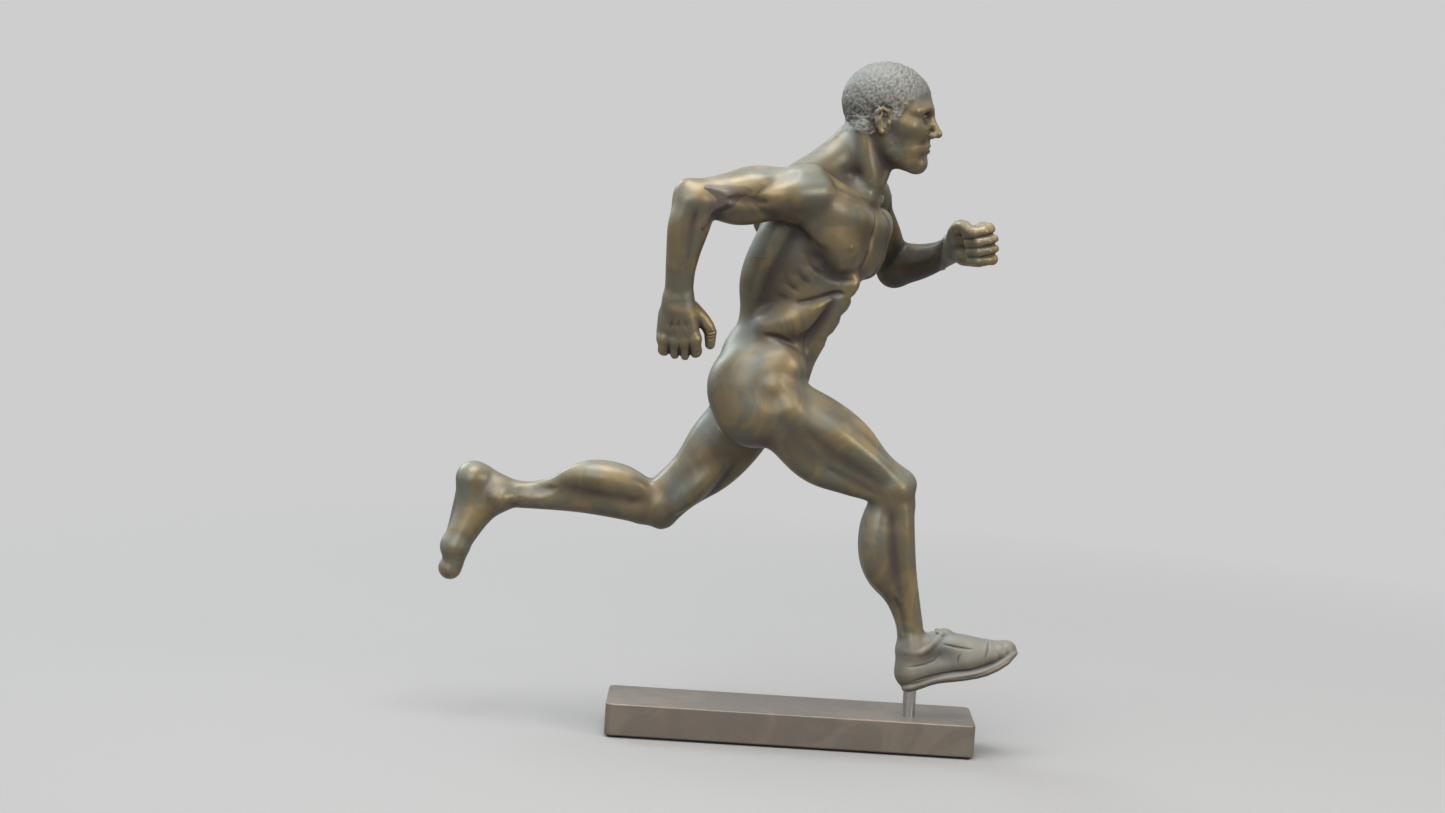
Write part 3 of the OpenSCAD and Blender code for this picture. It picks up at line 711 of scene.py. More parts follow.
    def limb_marks(self) -> None:
        """The grooves between muscles that catch the dark patina."""
        for name in ("right", "left"):
            limbs = {k: self.limbs[f"{name}_{k}"] for k in ("thigh", "shin", "arm", "forearm")}
            rows = (
                ("thigh", [(0.2, 1.0, 17), (0.45, -2, 16.5), (0.7, -1.5, 13.5), (0.9, -0.5, 10)], 2.9, -0.3),
                ("thigh", [(0.25, 11, 9), (0.5, 12.5, 8), (0.75, 10.5, 5), (0.88, 8.5, 3.5)], 2.4, -0.36),
                ("thigh", [(0.4, 11, -6), (0.62, 11.5, -4.5), (0.84, 9, -3)], 2.4, -0.36),
                ("thigh", [(0.5, -9, 12), (0.72, -7.5, 11), (0.92, -6, 9)], 2.2, -0.36),
                ("shin", [(0.1, -3, 9.5), (0.3, -4, 9), (0.5, -4.5, 8), (0.7, -3, 5.5)], 2.3, -0.2),
                ("shin", [(0.14, 5.5, 3.5), (0.4, 4, 3), (0.7, 4, 2)], 1.9, -0.25),
                ("shin", [(0.62, -6.4, 4.4), (0.8, -3.4, 4.4), (0.93, -3.6, 4.4)], 2.2, -0.50),
                ("shin", [(0.62, -6.4, -4.4), (0.8, -3.4, -4.4), (0.93, -3.6, -4.4)], 2.2, -0.50),
                ("arm", [(0.34, 1.2, 10), (0.55, 0.6, 10), (0.8, -0.6, 8.5)], 2.2, -0.72),
                ("arm", [(0.05, 11, 8), (0.25, 8.5, 10), (0.42, 5, 10), (0.5, 2, 10)], 2.2, -0.43),
                ("arm", [(0.05, -11, 8), (0.25, -8.5, 10), (0.42, -5, 10), (0.5, -1, 10)], 2.2, -0.43),
                ("forearm", [(0.05, 0.5, 9), (0.3, -0.6, 8.5), (0.6, -0.4, 7)], 1.9, -0.36),
                ("forearm", [(0.34, 6, 3), (0.5, 5.4, 2.4), (0.75, 4.5, 1)], 1.6, -0.3),
            )
            for key, path, width, height in rows:
                limb = limbs[key]
                self.clay.mark(limb.place, limb.path(path), width, height, (0, 1, 0))


@dataclass
class Head:
    """The head: a calm, plain face on even proportions, short curls and a short beard."""

    place: Place
    clay: Modeller

    def __post_init__(self) -> None:
        """Builds the skull, the face, the ears and then the hair."""
        self.skull()
        self.face()
        self.ears()
        self.hair()

    def skull(self) -> None:
        """The masses of the head."""
        h, m = self.place, self.clay
        m.lump(h, (-2.6, 0, 6), (19.8, 15.4, 17.8), 4)
        m.lump(h, (5, 0, 3), (12.5, 13, 14), 5)
        m.belly(h, [(7, 0, -3), (8.5, 0, -12), (10.5, 0, -18)], [11.8, 9.6, 6.4], 5)
        m.belly(h, [(-1.5, 11, -8), (2, 10, -14.6), (9, 6.8, -19.8), (14, 3, -21.4)],
                [3.2, 3.2, 3, 2.8], 5, pair=True)
        m.belly(h, [(7, 7.6, -6), (9.5, 6.6, -13)], [5.4, 4.4], 5, pair=True)
        m.lump(h, (4, 0, -15), (10, 9, 7.5), 4)

    def face(self) -> None:
        """Brow, eyes, nose, mouth and chin."""
        h, m = self.place, self.clay
        m.belly(h, [(2, 13, -1.5), (9.5, 10.4, -4.2), (13.2, 7, -6)], [2.4, 2.9, 2.6], 4, pair=True)
        m.belly(h, [(16.4, 1.6, 3.6), (15.6, 6.4, 4.4), (11.6, 10.8, 3.2)], [2.1, 2.1, 1.9], 3, pair=True)
        m.lump(h, (11.5, 0, -12.5), (6.8, 6.8, 5.8), 3)
        m.lump(h, (14, 0, -20.2), (3.6, 4.8, 3.9), 3)
        m.lump(h, (18.6, 6.4, 0), (4.6, 3.9, 2.9), 2.6, pair=True, tool=Tool.DIG)
        m.lump(h, (12.9, 6.2, -0.2), (3.0, 3.1, 2.8), 0.5, pair=True)
        m.belly(h, [(15.2, 3.6, -0.5), (16.1, 5.4, 1.0), (15.6, 7.4, 0.9), (13.6, 9.2, -0.3)],
                [0.5, 0.6, 0.6, 0.5], 0.7, pair=True)
        m.belly(h, [(15.2, 3.6, -0.7), (15.5, 5.8, -1.8), (14.6, 8, -1.5), (13.5, 9.2, -0.6)],
                [0.45, 0.5, 0.5, 0.45], 0.7, pair=True)
        m.belly(h, [(16.8, 0, 2.4), (19, 0, -1.6), (21.6, 0, -5.8)], [1.7, 1.8, 1.9], 1.8)
        m.lump(h, (21.9, 0, -6.7), (2.2, 1.9, 1.8), 1)
        m.lump(h, (19.2, 2.3, -7.6), (2.2, 1.35, 1.5), 1.1, pair=True)
        m.lump(h, (20.4, 1.4, -9.0), (1.1, 0.65, 0.8), 0.5, pair=True, tool=Tool.DIG)
        m.belly(h, [(16.3, 4.6, -13.0), (18.2, 1.7, -12.2), (18.4, 0, -12.4), (18.2, -1.7, -12.2),
                    (16.3, -4.6, -13.0)], [0.6, 0.95, 0.9, 0.95, 0.6], 0.9)
        m.belly(h, [(16.2, 4.2, -13.8), (18.0, 0, -14.6), (16.2, -4.2, -13.8)], [0.6, 1.25, 0.6], 0.9)
        m.mark(h, [(15.6, 5.4, -13.3), (17.8, 3, -13.35), (19.2, 0, -13.4), (17.8, -3, -13.35),
                   (15.6, -5.4, -13.3)], 0.45, -0.7)
        m.mark(h, [(16.4, 3.2, -17.2), (17.6, 0, -17.1), (16.4, -3.2, -17.2)], 1.1, -0.5)

    def ears(self) -> None:
        """Both ears: a shell with a rolled rim, an inner ridge and a lobe."""
        h, m = self.place, self.clay
        m.lump(h, (-2.6, 14.6, -3), (3.1, 1.7, 5.4), 1.4, tilt=-8, pair=True)
        m.belly(h, [(0.1, 15.6, -1.6), (-0.3, 16.2, 1.7), (-2.9, 16.6, 2.9), (-5.5, 16.4, 1.1),
                    (-5.2, 16, -3), (-2.9, 15.6, -7.4)], [0.8, 0.8, 0.85, 0.85, 0.8, 1.2], 0.7, pair=True)
        m.lump(h, (-1.9, 16.8, -2.6), (1.6, 1.4, 2.5), 0.9, pair=True, tool=Tool.DIG)
        m.belly(h, [(-3.2, 16.2, 1), (-3.9, 16.3, -2), (-2.9, 15.9, -4.9)], [0.6, 0.7, 0.6], 0.6, pair=True)
        m.lump(h, (0.2, 15.8, -3.3), (0.9, 0.9, 1.3), 0.6, pair=True)

    def scalp(self, f: Array, u: Array) -> Array:
        """How surely a place carries hair, from 0 to 1."""
        line_f = (-26, -14, -7, -5, -4.2, 1, 2.6, 4.6, 6.5, 9.5, 13, 16, 30)
        line_u = (-7, -8.5, -9.5, -7, 3.8, 3.8, -4, -1, 3.5, 6.5, 9.6, 11.5, 12)
        return 1 / (1 + np.exp(np.clip((np.interp(f, line_f, line_u) - u) * 2.6, -40, 40)))

    def dull(self, points: Array) -> Array:
        """How dull the finish is at points: the hair holds more patina than the skin."""
        f, _, u = self.place.local(*points.T)
        return 0.85 * self.scalp(f, u) * (points[:, 2] > 276)

    def hair(self) -> None:
        """Short waved hair above the hairline, and a trace of beard along the jaw."""
        h = self.place

        def waves(x: Array, y: Array, z: Array) -> Array:
            """Locks that run back over the scalp, wandering and breaking as they go."""
            f, l, u = np.broadcast_arrays(*h.local(x, y, z))
            across = np.arctan2(l, u + 3.0) * 12.0
            bend = (np.sin(f * 0.93 + across * 0.61) + 0.8 * np.sin(f * 1.71 - across * 1.13 + 1.3)
                    + 0.6 * np.sin(u * 1.37 + f * 0.8) + 0.5 * np.sin(f * 2.9 + across * 0.4))
            lock = np.sin(across * 3.4 + bend * 1.9)
            split = np.sin(f * 2.6 + 1.7 * np.sin(across * 1.1 + f * 0.4) + bend)
            swell = np.sin(across * 1.3 + f * 0.9)
            return self.scalp(f, u) * (0.38 + 0.12 * lock + 0.11 * split + 0.1 * swell)

        def stubble(x: Array, y: Array, z: Array) -> Array:
            """The shortest of beards: fine, flat tufts in front of the ear and under the jaw."""
            f, l, u = np.broadcast_arrays(*h.local(x, y, z))
            a, b, c = f * 4.2 + np.sin(u * 1.3), l * 4.2 + np.sin(f * 1.2), u * 3.4 + np.sin(l * 1.4)
            g = np.sin(a) * np.cos(b) + np.sin(b) * np.cos(c) + np.sin(c) * np.cos(a)
            cheek = np.interp(f, (-4, 1, 3, 8, 13, 16, 25), (-9, -3, -7, -12.5, -15.5, -16.5, -16.5))
            top = 1 / (1 + np.exp((u - cheek) * 1.4))
            front = 1 / (1 + np.exp(-(f + 0.5) * 2))
            neck = 1 / (1 + np.exp(-(u + 23.5) * 2))
            return top * front * neck * (0.05 + 0.13 * (1 - np.minimum(np.abs(g) * 1.2, 1.5)))

        shell = Lump(h, vec(30, 24, 30))
        self.clay.grain(shell, 2.0, 1.0, waves)
        self.clay.grain(shell, 2.0, 1.0, stubble)


@dataclass
class Hand:
    """A closed hand: thumbward, out of the back, and along towards the knuckles."""

    wrist: Array
    along: Array
    thumbward: Array
    back: Array
    clay: Modeller
    relaxed: bool

    def __post_init__(self) -> None:
        """Lays on the palm, the fingers and the thumb."""
        a = unit(self.along)
        w = unit(self.thumbward - (self.thumbward @ a) * a)
        b = np.cross(a, w)
        b = b if b @ self.back > 0 else -b
        p, m = Place(self.wrist, np.array([w, b, a])), self.clay
        m.belly(p, [(-1.8, 0, -3), (-4, 0.2, 5), (-6, 0, 14)], [4.8, 4.6, 4], 3)
        m.belly(p, [(1.8, 0, -3), (3.8, 0.4, 5), (5.2, 0.6, 14.5)], [4.8, 4.7, 4.2], 3)
        m.belly(p, [(0, 0.6, 2), (0, 1, 15)], [4.8, 4.2], 3)
        m.belly(p, [(-5, -3, 4), (-6.6, -3.4, 12)], [3.8, 3.2], 3)
        m.belly(p, [(5, -2.8, 4), (4.6, -3.8, 11)], [4.2, 3.2], 3)
        for i, (reach, r) in enumerate(((-0.4, 2.5), (0.8, 2.75), (1.4, 2.85), (0.5, 2.8))):
            x, tip = -6.9 + 4.6 * i, (14.4 if self.relaxed else 12.5) + reach * 0.5
            knuckle, bend = (x, 1.5, 14.6 + reach * 0.6), (x * 1.01, -2.0, 20.4 + reach)
            m.belly(p, [knuckle, (x, 0.4, 17.6 + reach * 0.8), bend], [r + 0.5, r + 0.1, r + 0.2], 1.4)
            m.belly(p, [bend, (x * 0.97, -5.6, 20.6 + reach), (x * 0.95, -8.4, 18.2 + reach)],
                    [r + 0.1, r, r - 0.1], 0.8)
            m.belly(p, [(x * 0.95, -8.4, 18.2 + reach), (x * 0.93, -8, tip)], [r - 0.1, r - 0.3], 0.8)
        for x in (-4.6, 0, 4.6):
            m.mark(p, [(x, 5.5, 14.5), (x, 3.4, 19), (x, 0, 24), (x, -7, 24), (x, -11, 18)], 0.75, -0.9,
                   (0, 0.4, 1))
            m.mark(p, [(x * 0.5, 4.6, 4), (x * 0.95, 4.8, 11)], 1.2, -0.3, (0, 1, 0))
        if self.relaxed:
            joints = [(6.2, -2.4, 2.5), (11, -3.2, 7.4), (13.9, -3.8, 13), (13.6, -4.6, 18.6)]
            m.belly(p, joints, [4, 3.2, 2.85, 2.3], 1.6)
            spots = ((13.9, 12.6), (14.1, 14.1), (14.1, 15.6))
        else:
            joints = [(6, -1.8, 0.5), (9, -4.4, 5.6), (9.6, -7, 11), (7.4, -9.4, 16.5)]
            m.belly(p, joints, [4, 3.6, 3.1, 2.5], 1.4)
            spots = ((9.8, 10), (9.7, 11.4))
        for x, z in spots:
            m.mark(p, [(x - 3.2, -3.5, z + 0.4), (x, -1, z), (x + 3.2, -3.5, z - 0.4)], 0.5, -0.4,
                   (0.3, 1, 0))


@dataclass
class Shoe:
    """The running shoe: forward, left and up from under the heel."""

    place: Place
    clay: Modeller

    def __post_init__(self) -> None:
        """Builds the sole, the upper and its laces."""
        self.upper()
        self.sole()
        self.stitches()

    def upper(self) -> None:
        """Heel cup, toe box, tongue and padded collar."""
        s, m = self.place, self.clay
        m.belly(s, [(10, 0, 9), (24, 0, 9), (36, -0.5, 8.5)], [8.2, 7.6, 8.2], 3)
        m.belly(s, [(36, -0.5, 8.8), (45, -0.5, 9), (52.5, 0, 9.6)], [8.8, 8.2, 6], 3, 0.78, (0, 0, 1))
        m.belly(s, [(9.6, 0, 9), (10.4, 0, 18)], [8, 6.6], 3)
        m.belly(s, [(14, 0, 18), (24, 0, 18), (33, 0, 14.6), (43, 0, 10.5)], [7, 6.6, 7, 6.2], 3)
        m.belly(s, [(24, 0, 22), (28.6, 0, 23.6)], [3.6, 2.6], 2, 0.6, (0.6, 0, 0.8))
        m.belly(s, [(6.4, 0, 21.4), (9, 5.4, 19.6), (15, 6.6, 18), (22, 5.4, 21), (26.5, 2.2, 23.6),
                    (26.5, -2.2, 23.6), (22, -5.4, 21), (15, -6.6, 18), (9, -5.4, 19.6), (6.4, 0, 21.4)],
                [1.5] * 10, 0.9)

    def sole(self) -> None:
        """A sole that follows the foot, thicker under the heel."""
        s, m = self.place, self.clay
        for y in (-3.2, 3.2):
            m.belly(s, [(8, y, 3.2), (20, y * 0.9, 4), (32, y * 1.3, 3.4), (42, y * 1.5, 3.2),
                        (50, y * 1.1, 5), (54.5, y * 0.6, 7.4)],
                    [5.2, 4.9, 5.6, 5.4, 4.9, 4.2], 1.0, 0.48, (-0.1, 0, 1))
        m.mark(s, [(2, 9, 5.8), (20, 9, 6.6), (38, 11, 5.8), (50, 9, 8), (57, 5, 10.6)], 0.5, -0.6,
               (0, 1, 0), True)
        m.mark(s, [(24, 9, 3.6), (38, 11, 2.9), (50, 9, 5), (58, 4, 7.8)], 0.45, -0.45, (0, 1, 0), True)

    def stitches(self) -> None:
        """Lace rows, seams and the toe cap's edge."""
        s, m = self.place, self.clay
        for i in range(5):
            x, z = 25.6 + 3.7 * i, 23.6 - 2.05 * i
            m.belly(s, [(x + 0.9, 4.2, z - 2.2), (x, 1.8, z + 0.2), (x - 0.2, 0, z + 0.7), (x, -1.8, z + 0.2),
                        (x + 0.9, -4.2, z - 2.2)], [0.75] * 5, 0.4)
        m.belly(s, [(25.5, 0.6, 25.2), (24.3, 3, 25.2), (26.4, 4.4, 23.6)], [0.6, 0.65, 0.55], 0.3, pair=True)
        m.mark(s, [(24, 6.6, 20.6), (30, 6.6, 17.6), (37, 6.4, 14.6), (42, 5, 13.4)], 0.55, -0.5,
               (0, 1, 0.4), True)
        m.mark(s, [(5, 8, 13.5), (12, 9, 12.4), (20, 8.6, 13), (25, 7.4, 17)], 0.5, -0.4, (0, 1, 0), True)
        m.mark(s, [(29, 9, 6.8), (31, 8.6, 12), (34, 7.4, 15.6)], 0.5, -0.4, (0, 1, 0.3), True)
        m.mark(s, [(42, 9.5, 7.6), (45, 7, 12.4), (46.5, 3, 14.6), (46.8, 0, 15)], 0.5, -0.45, (0, 0.5, 1),
               True)
        m.mark(s, [(1.5, 3.5, 12), (2.5, 5, 17), (5, 5.5, 20)], 0.5, -0.35, (0.5, 1, 0), True)


@dataclass
class BareFoot:
    """The trailing foot, bare: forward, left and up from under the heel."""

    place: Place
    clay: Modeller

    def __post_init__(self) -> None:
        """Lays on the heel, the arch, the ball and the toes."""
        f, m = self.place, self.clay
        m.belly(f, [(7, 0, 8), (10, 0, 14), (13.5, 0, 21)], [6.9, 6.2, 6.6], 4)
        m.belly(f, [(5.6, 0, 13), (9.6, 0, 24), (10.6, 0, 34)], [4.2, 3.6, 3.2], 4)
        m.belly(f, [(14, 0, 18.6), (26, -1, 10.6), (38, -1, 5.4)], [7.8, 6.8, 5.8], 4)
        m.belly(f, [(8, 2.4, 7), (24, 4.4, 5.6), (39, 5.6, 5)], [6.4, 5.6, 5.8], 4)
        m.belly(f, [(8, -2.4, 7), (24, -3, 9), (39, -5.2, 5.4)], [6.4, 6, 5.8], 4)
        m.belly(f, [(41, -5, 4.8), (42, 0, 5), (40.5, 6, 4.8)], [5.8, 5.8, 5.2], 4)
        toes = ((-5.2, 50.4, 5.4), (1.0, 51.0, 4.1), (4.9, 49.8, 3.9), (8.3, 47.8, 3.7), (11.2, 45.4, 3.4))
        for y, x, r in toes:
            m.belly(f, [(40, y * 0.86, 5.0), (x - 6, y, 5.6), (x - 2.6, y, 5.4), (x, y, 4.6)],
                    [r * 1.15, r * 1.0, r * 0.95, r], 1.1)
            m.mark(f, [(x + 1.2, y - r * 0.5, 7), (x + 2.2, y, 7), (x + 1.2, y + r * 0.5, 7)], 0.5, -0.3,
                   (0.6, 0, 1))
        for y in (-4.6, -1.2, 1.8, 4.4):
            m.mark(f, [(22, y * 0.4, 17), (32, y * 0.8, 13), (40, y, 10)], 0.9, 0.35, (0.3, 0, 1))
        m.belly(f, [(12, 5.2, 21), (11.6, 5.6, 18.6)], [3, 2.4], 3)
        m.belly(f, [(14, -5.2, 22), (13.6, -5.6, 20)], [3, 2.4], 3)


# ---- castings ----------------------------------------------------------------------------------


@dataclass(frozen=True)
class Cut:
    """A flat joint between two castings: its middle, the way out of the trunk, and its reach."""

    middle: Array
    way: Array
    reach: float


@dataclass(frozen=True)
class Casting:
    """One bronze section: the CAD node it stands for, its block of clay and a point on its skin.

    Where part of it isn't bare metal, dull says how much patina it holds there, from 0 to 1.
    """

    node: str
    cell: float
    low: Point
    high: Point
    seed: Array
    cuts: Sequence[str]
    dull: Optional[Callable[[Array], Array]] = None

    def cast(self, touches: Sequence[Touch], cuts: dict[str, Cut]) -> bpy.types.Object:
        """Works the clay, casts its skin and cuts the section free of its neighbours.

        Args:
            touches: Every touch on the whole figure, in order.
            cuts: The figure's joints by name.

        Returns:
            The finished section, in metres.
        """
        clay = Clay(np.array(self.low, float), np.array(self.high, float), self.cell)
        for touch in touches:
            clay.work(touch)
        mesh = clay.skin(self.node)
        count = len(mesh.vertices)
        spots = np.empty(count * 3, np.float32)
        mesh.vertices.foreach_get("co", spots)
        shade = self.dull(spots.reshape(-1, 3)) if self.dull else np.zeros(count)
        mesh.attributes.new("dull", "FLOAT", "POINT").data.foreach_set("value", shade.astype(np.float32))
        normals = np.empty(count * 3, np.float32)
        mesh.vertices.foreach_get("normal", normals)
        mesh.attributes.new("skin_normal", "FLOAT_VECTOR", "POINT").data.foreach_set("vector", normals)
        bm = bmesh.new()
        bm.from_mesh(mesh)
        self._cut(bm, [cuts[name] for name in self.cuts])
        bm.to_mesh(mesh)
        bm.free()
        self._finish(mesh)
        obj = bpy.data.objects.new(self.node, mesh)
        bpy.context.collection.objects.link(obj)
        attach(obj, "root")
        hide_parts(self.node)
        LOG.info("%s: %d faces, %s to %s mm", self.node, len(mesh.polygons),
                 *(np.round(np.array(corner) / MM, 1) for corner in (obj.bound_box[0], obj.bound_box[6])))
        return obj

    @staticmethod
    def _nearest_run(edges: Sequence[bmesh.types.BMEdge], middle: Vector) -> list[bmesh.types.BMEdge]:
        """The run of joined edges whose own middle is nearest to a point."""
        left, best, gap = dict.fromkeys(edges), [], math.inf
        while left:
            first = next(iter(left))
            del left[first]
            run, front = [], [first]
            while front:
                edge = front.pop()
                run.append(edge)
                for other in (e for v in edge.verts for e in v.link_edges):
                    if other in left:
                        del left[other]
                        front.append(other)
            centre = sum((v.co for e in run for v in e.verts), Vector()) / (2 * len(run))
            if (centre - middle).length < gap:
                best, gap = run, (centre - middle).length
        return best

    def _cut(self, bm: bmesh.types.BMesh, cuts: Sequence[Cut]) -> None:
        """Saws the mesh at its joints, keeps the piece that the seed is on and closes it."""
        for cut in cuts:
            near = {v for v in bm.verts if (v.co - Vector(cut.middle)).length < cut.reach * CUT_MARGIN}
            faces = [f for f in bm.faces if all(v in near for v in f.verts)]
            edges = {e for f in faces for e in f.edges}
            verts = {v for f in faces for v in f.verts}
            sawn = bmesh.ops.bisect_plane(bm, geom=[*verts, *edges, *faces], dist=1e-5,
                                          plane_co=cut.middle, plane_no=cut.way)
            edges = [g for g in sawn["geom_cut"] if isinstance(g, bmesh.types.BMEdge)]
            bmesh.ops.split_edges(bm, edges=self._nearest_run(edges, Vector(cut.middle)))
        bm.verts.ensure_lookup_table()
        co = np.array([v.co[:] for v in bm.verts])
        start = bm.verts[int(np.argmin(((co - self.seed) ** 2).sum(1)))]
        kept, front = {start}, [start]
        while front:
            fresh = []
            for v in front:
                for e in v.link_edges:
                    other = e.other_vert(v)
                    if other not in kept:
                        kept.add(other)
                        fresh.append(other)
            front = fresh
        bmesh.ops.delete(bm, geom=[v for v in bm.verts if v not in kept], context="VERTS")
        rims = [e for e in bm.edges if e.is_boundary]
        for f in bm.faces:
            f.smooth = True
        caps = bmesh.ops.holes_fill(bm, edges=rims, sides=0)["faces"]
        for f in caps:
            f.smooth = False
        bmesh.ops.triangulate(bm, faces=caps)
        bm.normal_update()

    def _finish(self, mesh: bpy.types.Mesh) -> None:
        """Gives the skin the normals it had before it was cut, and turns mm into metres."""
        count, loops = len(mesh.vertices), len(mesh.loops)
        skin = np.empty(count * 3, np.float32)
        mesh.attributes["skin_normal"].data.foreach_get("vector", skin)
        corner = np.empty(loops, np.int32)
        mesh.loops.foreach_get("vertex_index", corner)
        smooth = np.empty(len(mesh.polygons), bool)
        mesh.polygons.foreach_get("use_smooth", smooth)
        totals = np.empty(len(mesh.polygons), np.int32)
        mesh.polygons.foreach_get("loop_total", totals)
        flats = np.empty(len(mesh.polygons) * 3, np.float32)
        mesh.polygons.foreach_get("normal", flats)
        flat = np.repeat(flats.reshape(-1, 3), totals, axis=0)
        custom = np.where(np.repeat(smooth, totals)[:, None], skin.reshape(-1, 3)[corner], flat)
        mesh.attributes.remove(mesh.attributes["skin_normal"])
        mesh.transform(Matrix.Scale(MM, 4))
        mesh.normals_split_custom_set([tuple(n) for n in custom])
        mesh.update()


@dataclass
class Figure:
    """The runner: its clay, its joints and its fourteen castings."""

    bones: Skeleton = field(default_factory=Skeleton)

    def touches(self) -> list[Touch]:
        """Everything that is worked into the clay, in order."""
        b = self.bones
        m = Body(b).clay
        self.head = Head(b.head, m)
        Hand(b.right_wrist, vec(0.087, 0.105, -0.99), vec(1, 0, 0), vec(0, -1, 0), m, True)
        Hand(b.left_wrist, vec(0.694, -0.707, 0.135), vec(-0.3, 0, 1), vec(0.7, 0.73, 0.2), m, False)
        Shoe(b.shoe, m)
        BareFoot(b.foot, m)
        return m.touches

    def cuts(self, limbs: dict[str, Limb]) -> dict[str, Cut]:
        """The joints between the castings."""
        b = self.bones
        out = {
            "neck": Cut(vec(11.5, -1, 265), unit(vec(0.42, -0.12, 0.9)), 23),
            "right_shoulder": Cut(vec(-16.4, -33.2, 252), unit(vec(-0.6, -0.8, 0)), 21),
            "left_shoulder": Cut(vec(20, 38.3, 250.5), unit(vec(0.2, 0.95, -0.24)), 24),
        }
        for name in ("right", "left"):
            forearm, thigh, shin = (limbs[f"{name}_{k}"] for k in ("forearm", "thigh", "shin"))
            out[f"{name}_elbow"] = Cut(forearm.at(0.24), forearm.place.axes[2], 15)
            out[f"{name}_wrist"] = Cut(forearm.at(1.0), forearm.place.axes[2], 13)
            out[f"{name}_hip"] = Cut(thigh.at(0.25), thigh.place.axes[2], 26 if name == "right" else 24)
            out[f"{name}_knee"] = Cut(shin.at(0.13), shin.place.axes[2], 17)
            out[f"{name}_ankle"] = Cut(shin.at(0.86), shin.place.axes[2], 14)
        return out

    def cast(self) -> list[bpy.types.Object]:
        """Casts every section."""
        b = self.bones
        limbs = b.limbs()
        cuts = self.cuts(limbs)
        touches = self.touches()
        LOG.info("%d touches on the clay", len(touches))
        rows = (
            Casting("torso", TRUNK_CELL, (-54, -50, 130), (44, 54, 290), b.chest.at(27, 0, 6),
                    ("neck", "right_shoulder", "left_shoulder", "right_hip", "left_hip")),
            Casting("head", HEAD_CELL, (-14, -30, 246), (57, 28, 321), vec(24, -2, 318), ("neck",),
                    self.head.dull),
            Casting("right_upper_arm", LIMB_CELL, (-82, -68, 224), (14, -6, 280),
                    limbs["right_arm"].at(0.5, 0, 15),
                    ("right_shoulder", "right_elbow")),
            Casting("right_forearm", LIMB_CELL, (-84, -62, 188), (-36, -22, 264),
                    limbs["right_forearm"].at(0.55, 0, 12),
                    ("right_elbow", "right_wrist")),
            Casting("right_hand", FINE_CELL, (-84, -62, 168), (-36, -16, 214), vec(-62, -48, 188),
                    ("right_wrist",)),
            Casting("left_upper_arm", LIMB_CELL, (-2, 16, 198), (60, 84, 284),
                    limbs["left_arm"].at(0.5, 0, 15),
                    ("left_shoulder", "left_elbow")),
            Casting("left_forearm", LIMB_CELL, (20, 0, 198), (82, 78, 254),
                    limbs["left_forearm"].at(0.55, 0, 12),
                    ("left_elbow", "left_wrist")),
            Casting("left_hand", FINE_CELL, (46, -10, 210), (100, 44, 258), b.left_wrist + vec(14, -14, 8),
                    ("left_wrist",)),
            Casting("right_thigh", LIMB_CELL, (-40, -44, 98), (68, 12, 188),
                    limbs["right_thigh"].at(0.6, 18, 0),
                    ("right_hip", "right_knee")),
            Casting("right_lower_leg", LIMB_CELL, (12, -36, 38), (72, 14, 136),
                    limbs["right_shin"].at(0.5, 8, 0),
                    ("right_knee", "right_ankle")),
            Casting("right_shoe", SMALL_CELL, (34, -28, 18), (114, 14, 74), b.shoe.at(45, 0, 18),
                    ("right_ankle",),
                    lambda p: 0.6 / (1 + np.exp((b.shoe.local(*p.T)[2] - 25.5) * 1.5))),
            Casting("left_thigh", LIMB_CELL, (-94, -10, 78), (2, 44, 178), limbs["left_thigh"].at(0.6, 18, 0),
                    ("left_hip", "left_knee")),
            Casting("left_lower_leg", LIMB_CELL, (-154, -8, 82), (-48, 42, 136),
                    limbs["left_shin"].at(0.5, 8, 0),
                    ("left_knee", "left_ankle")),
            Casting("left_foot", SMALL_CELL, (-178, -10, 54), (-116, 36, 132), b.foot.at(56, -5, 4),
                    ("left_ankle",)),
        )
        return [row.cast(touches, cuts) for row in rows]


# ---- finishes ----------------------------------------------------------------------------------


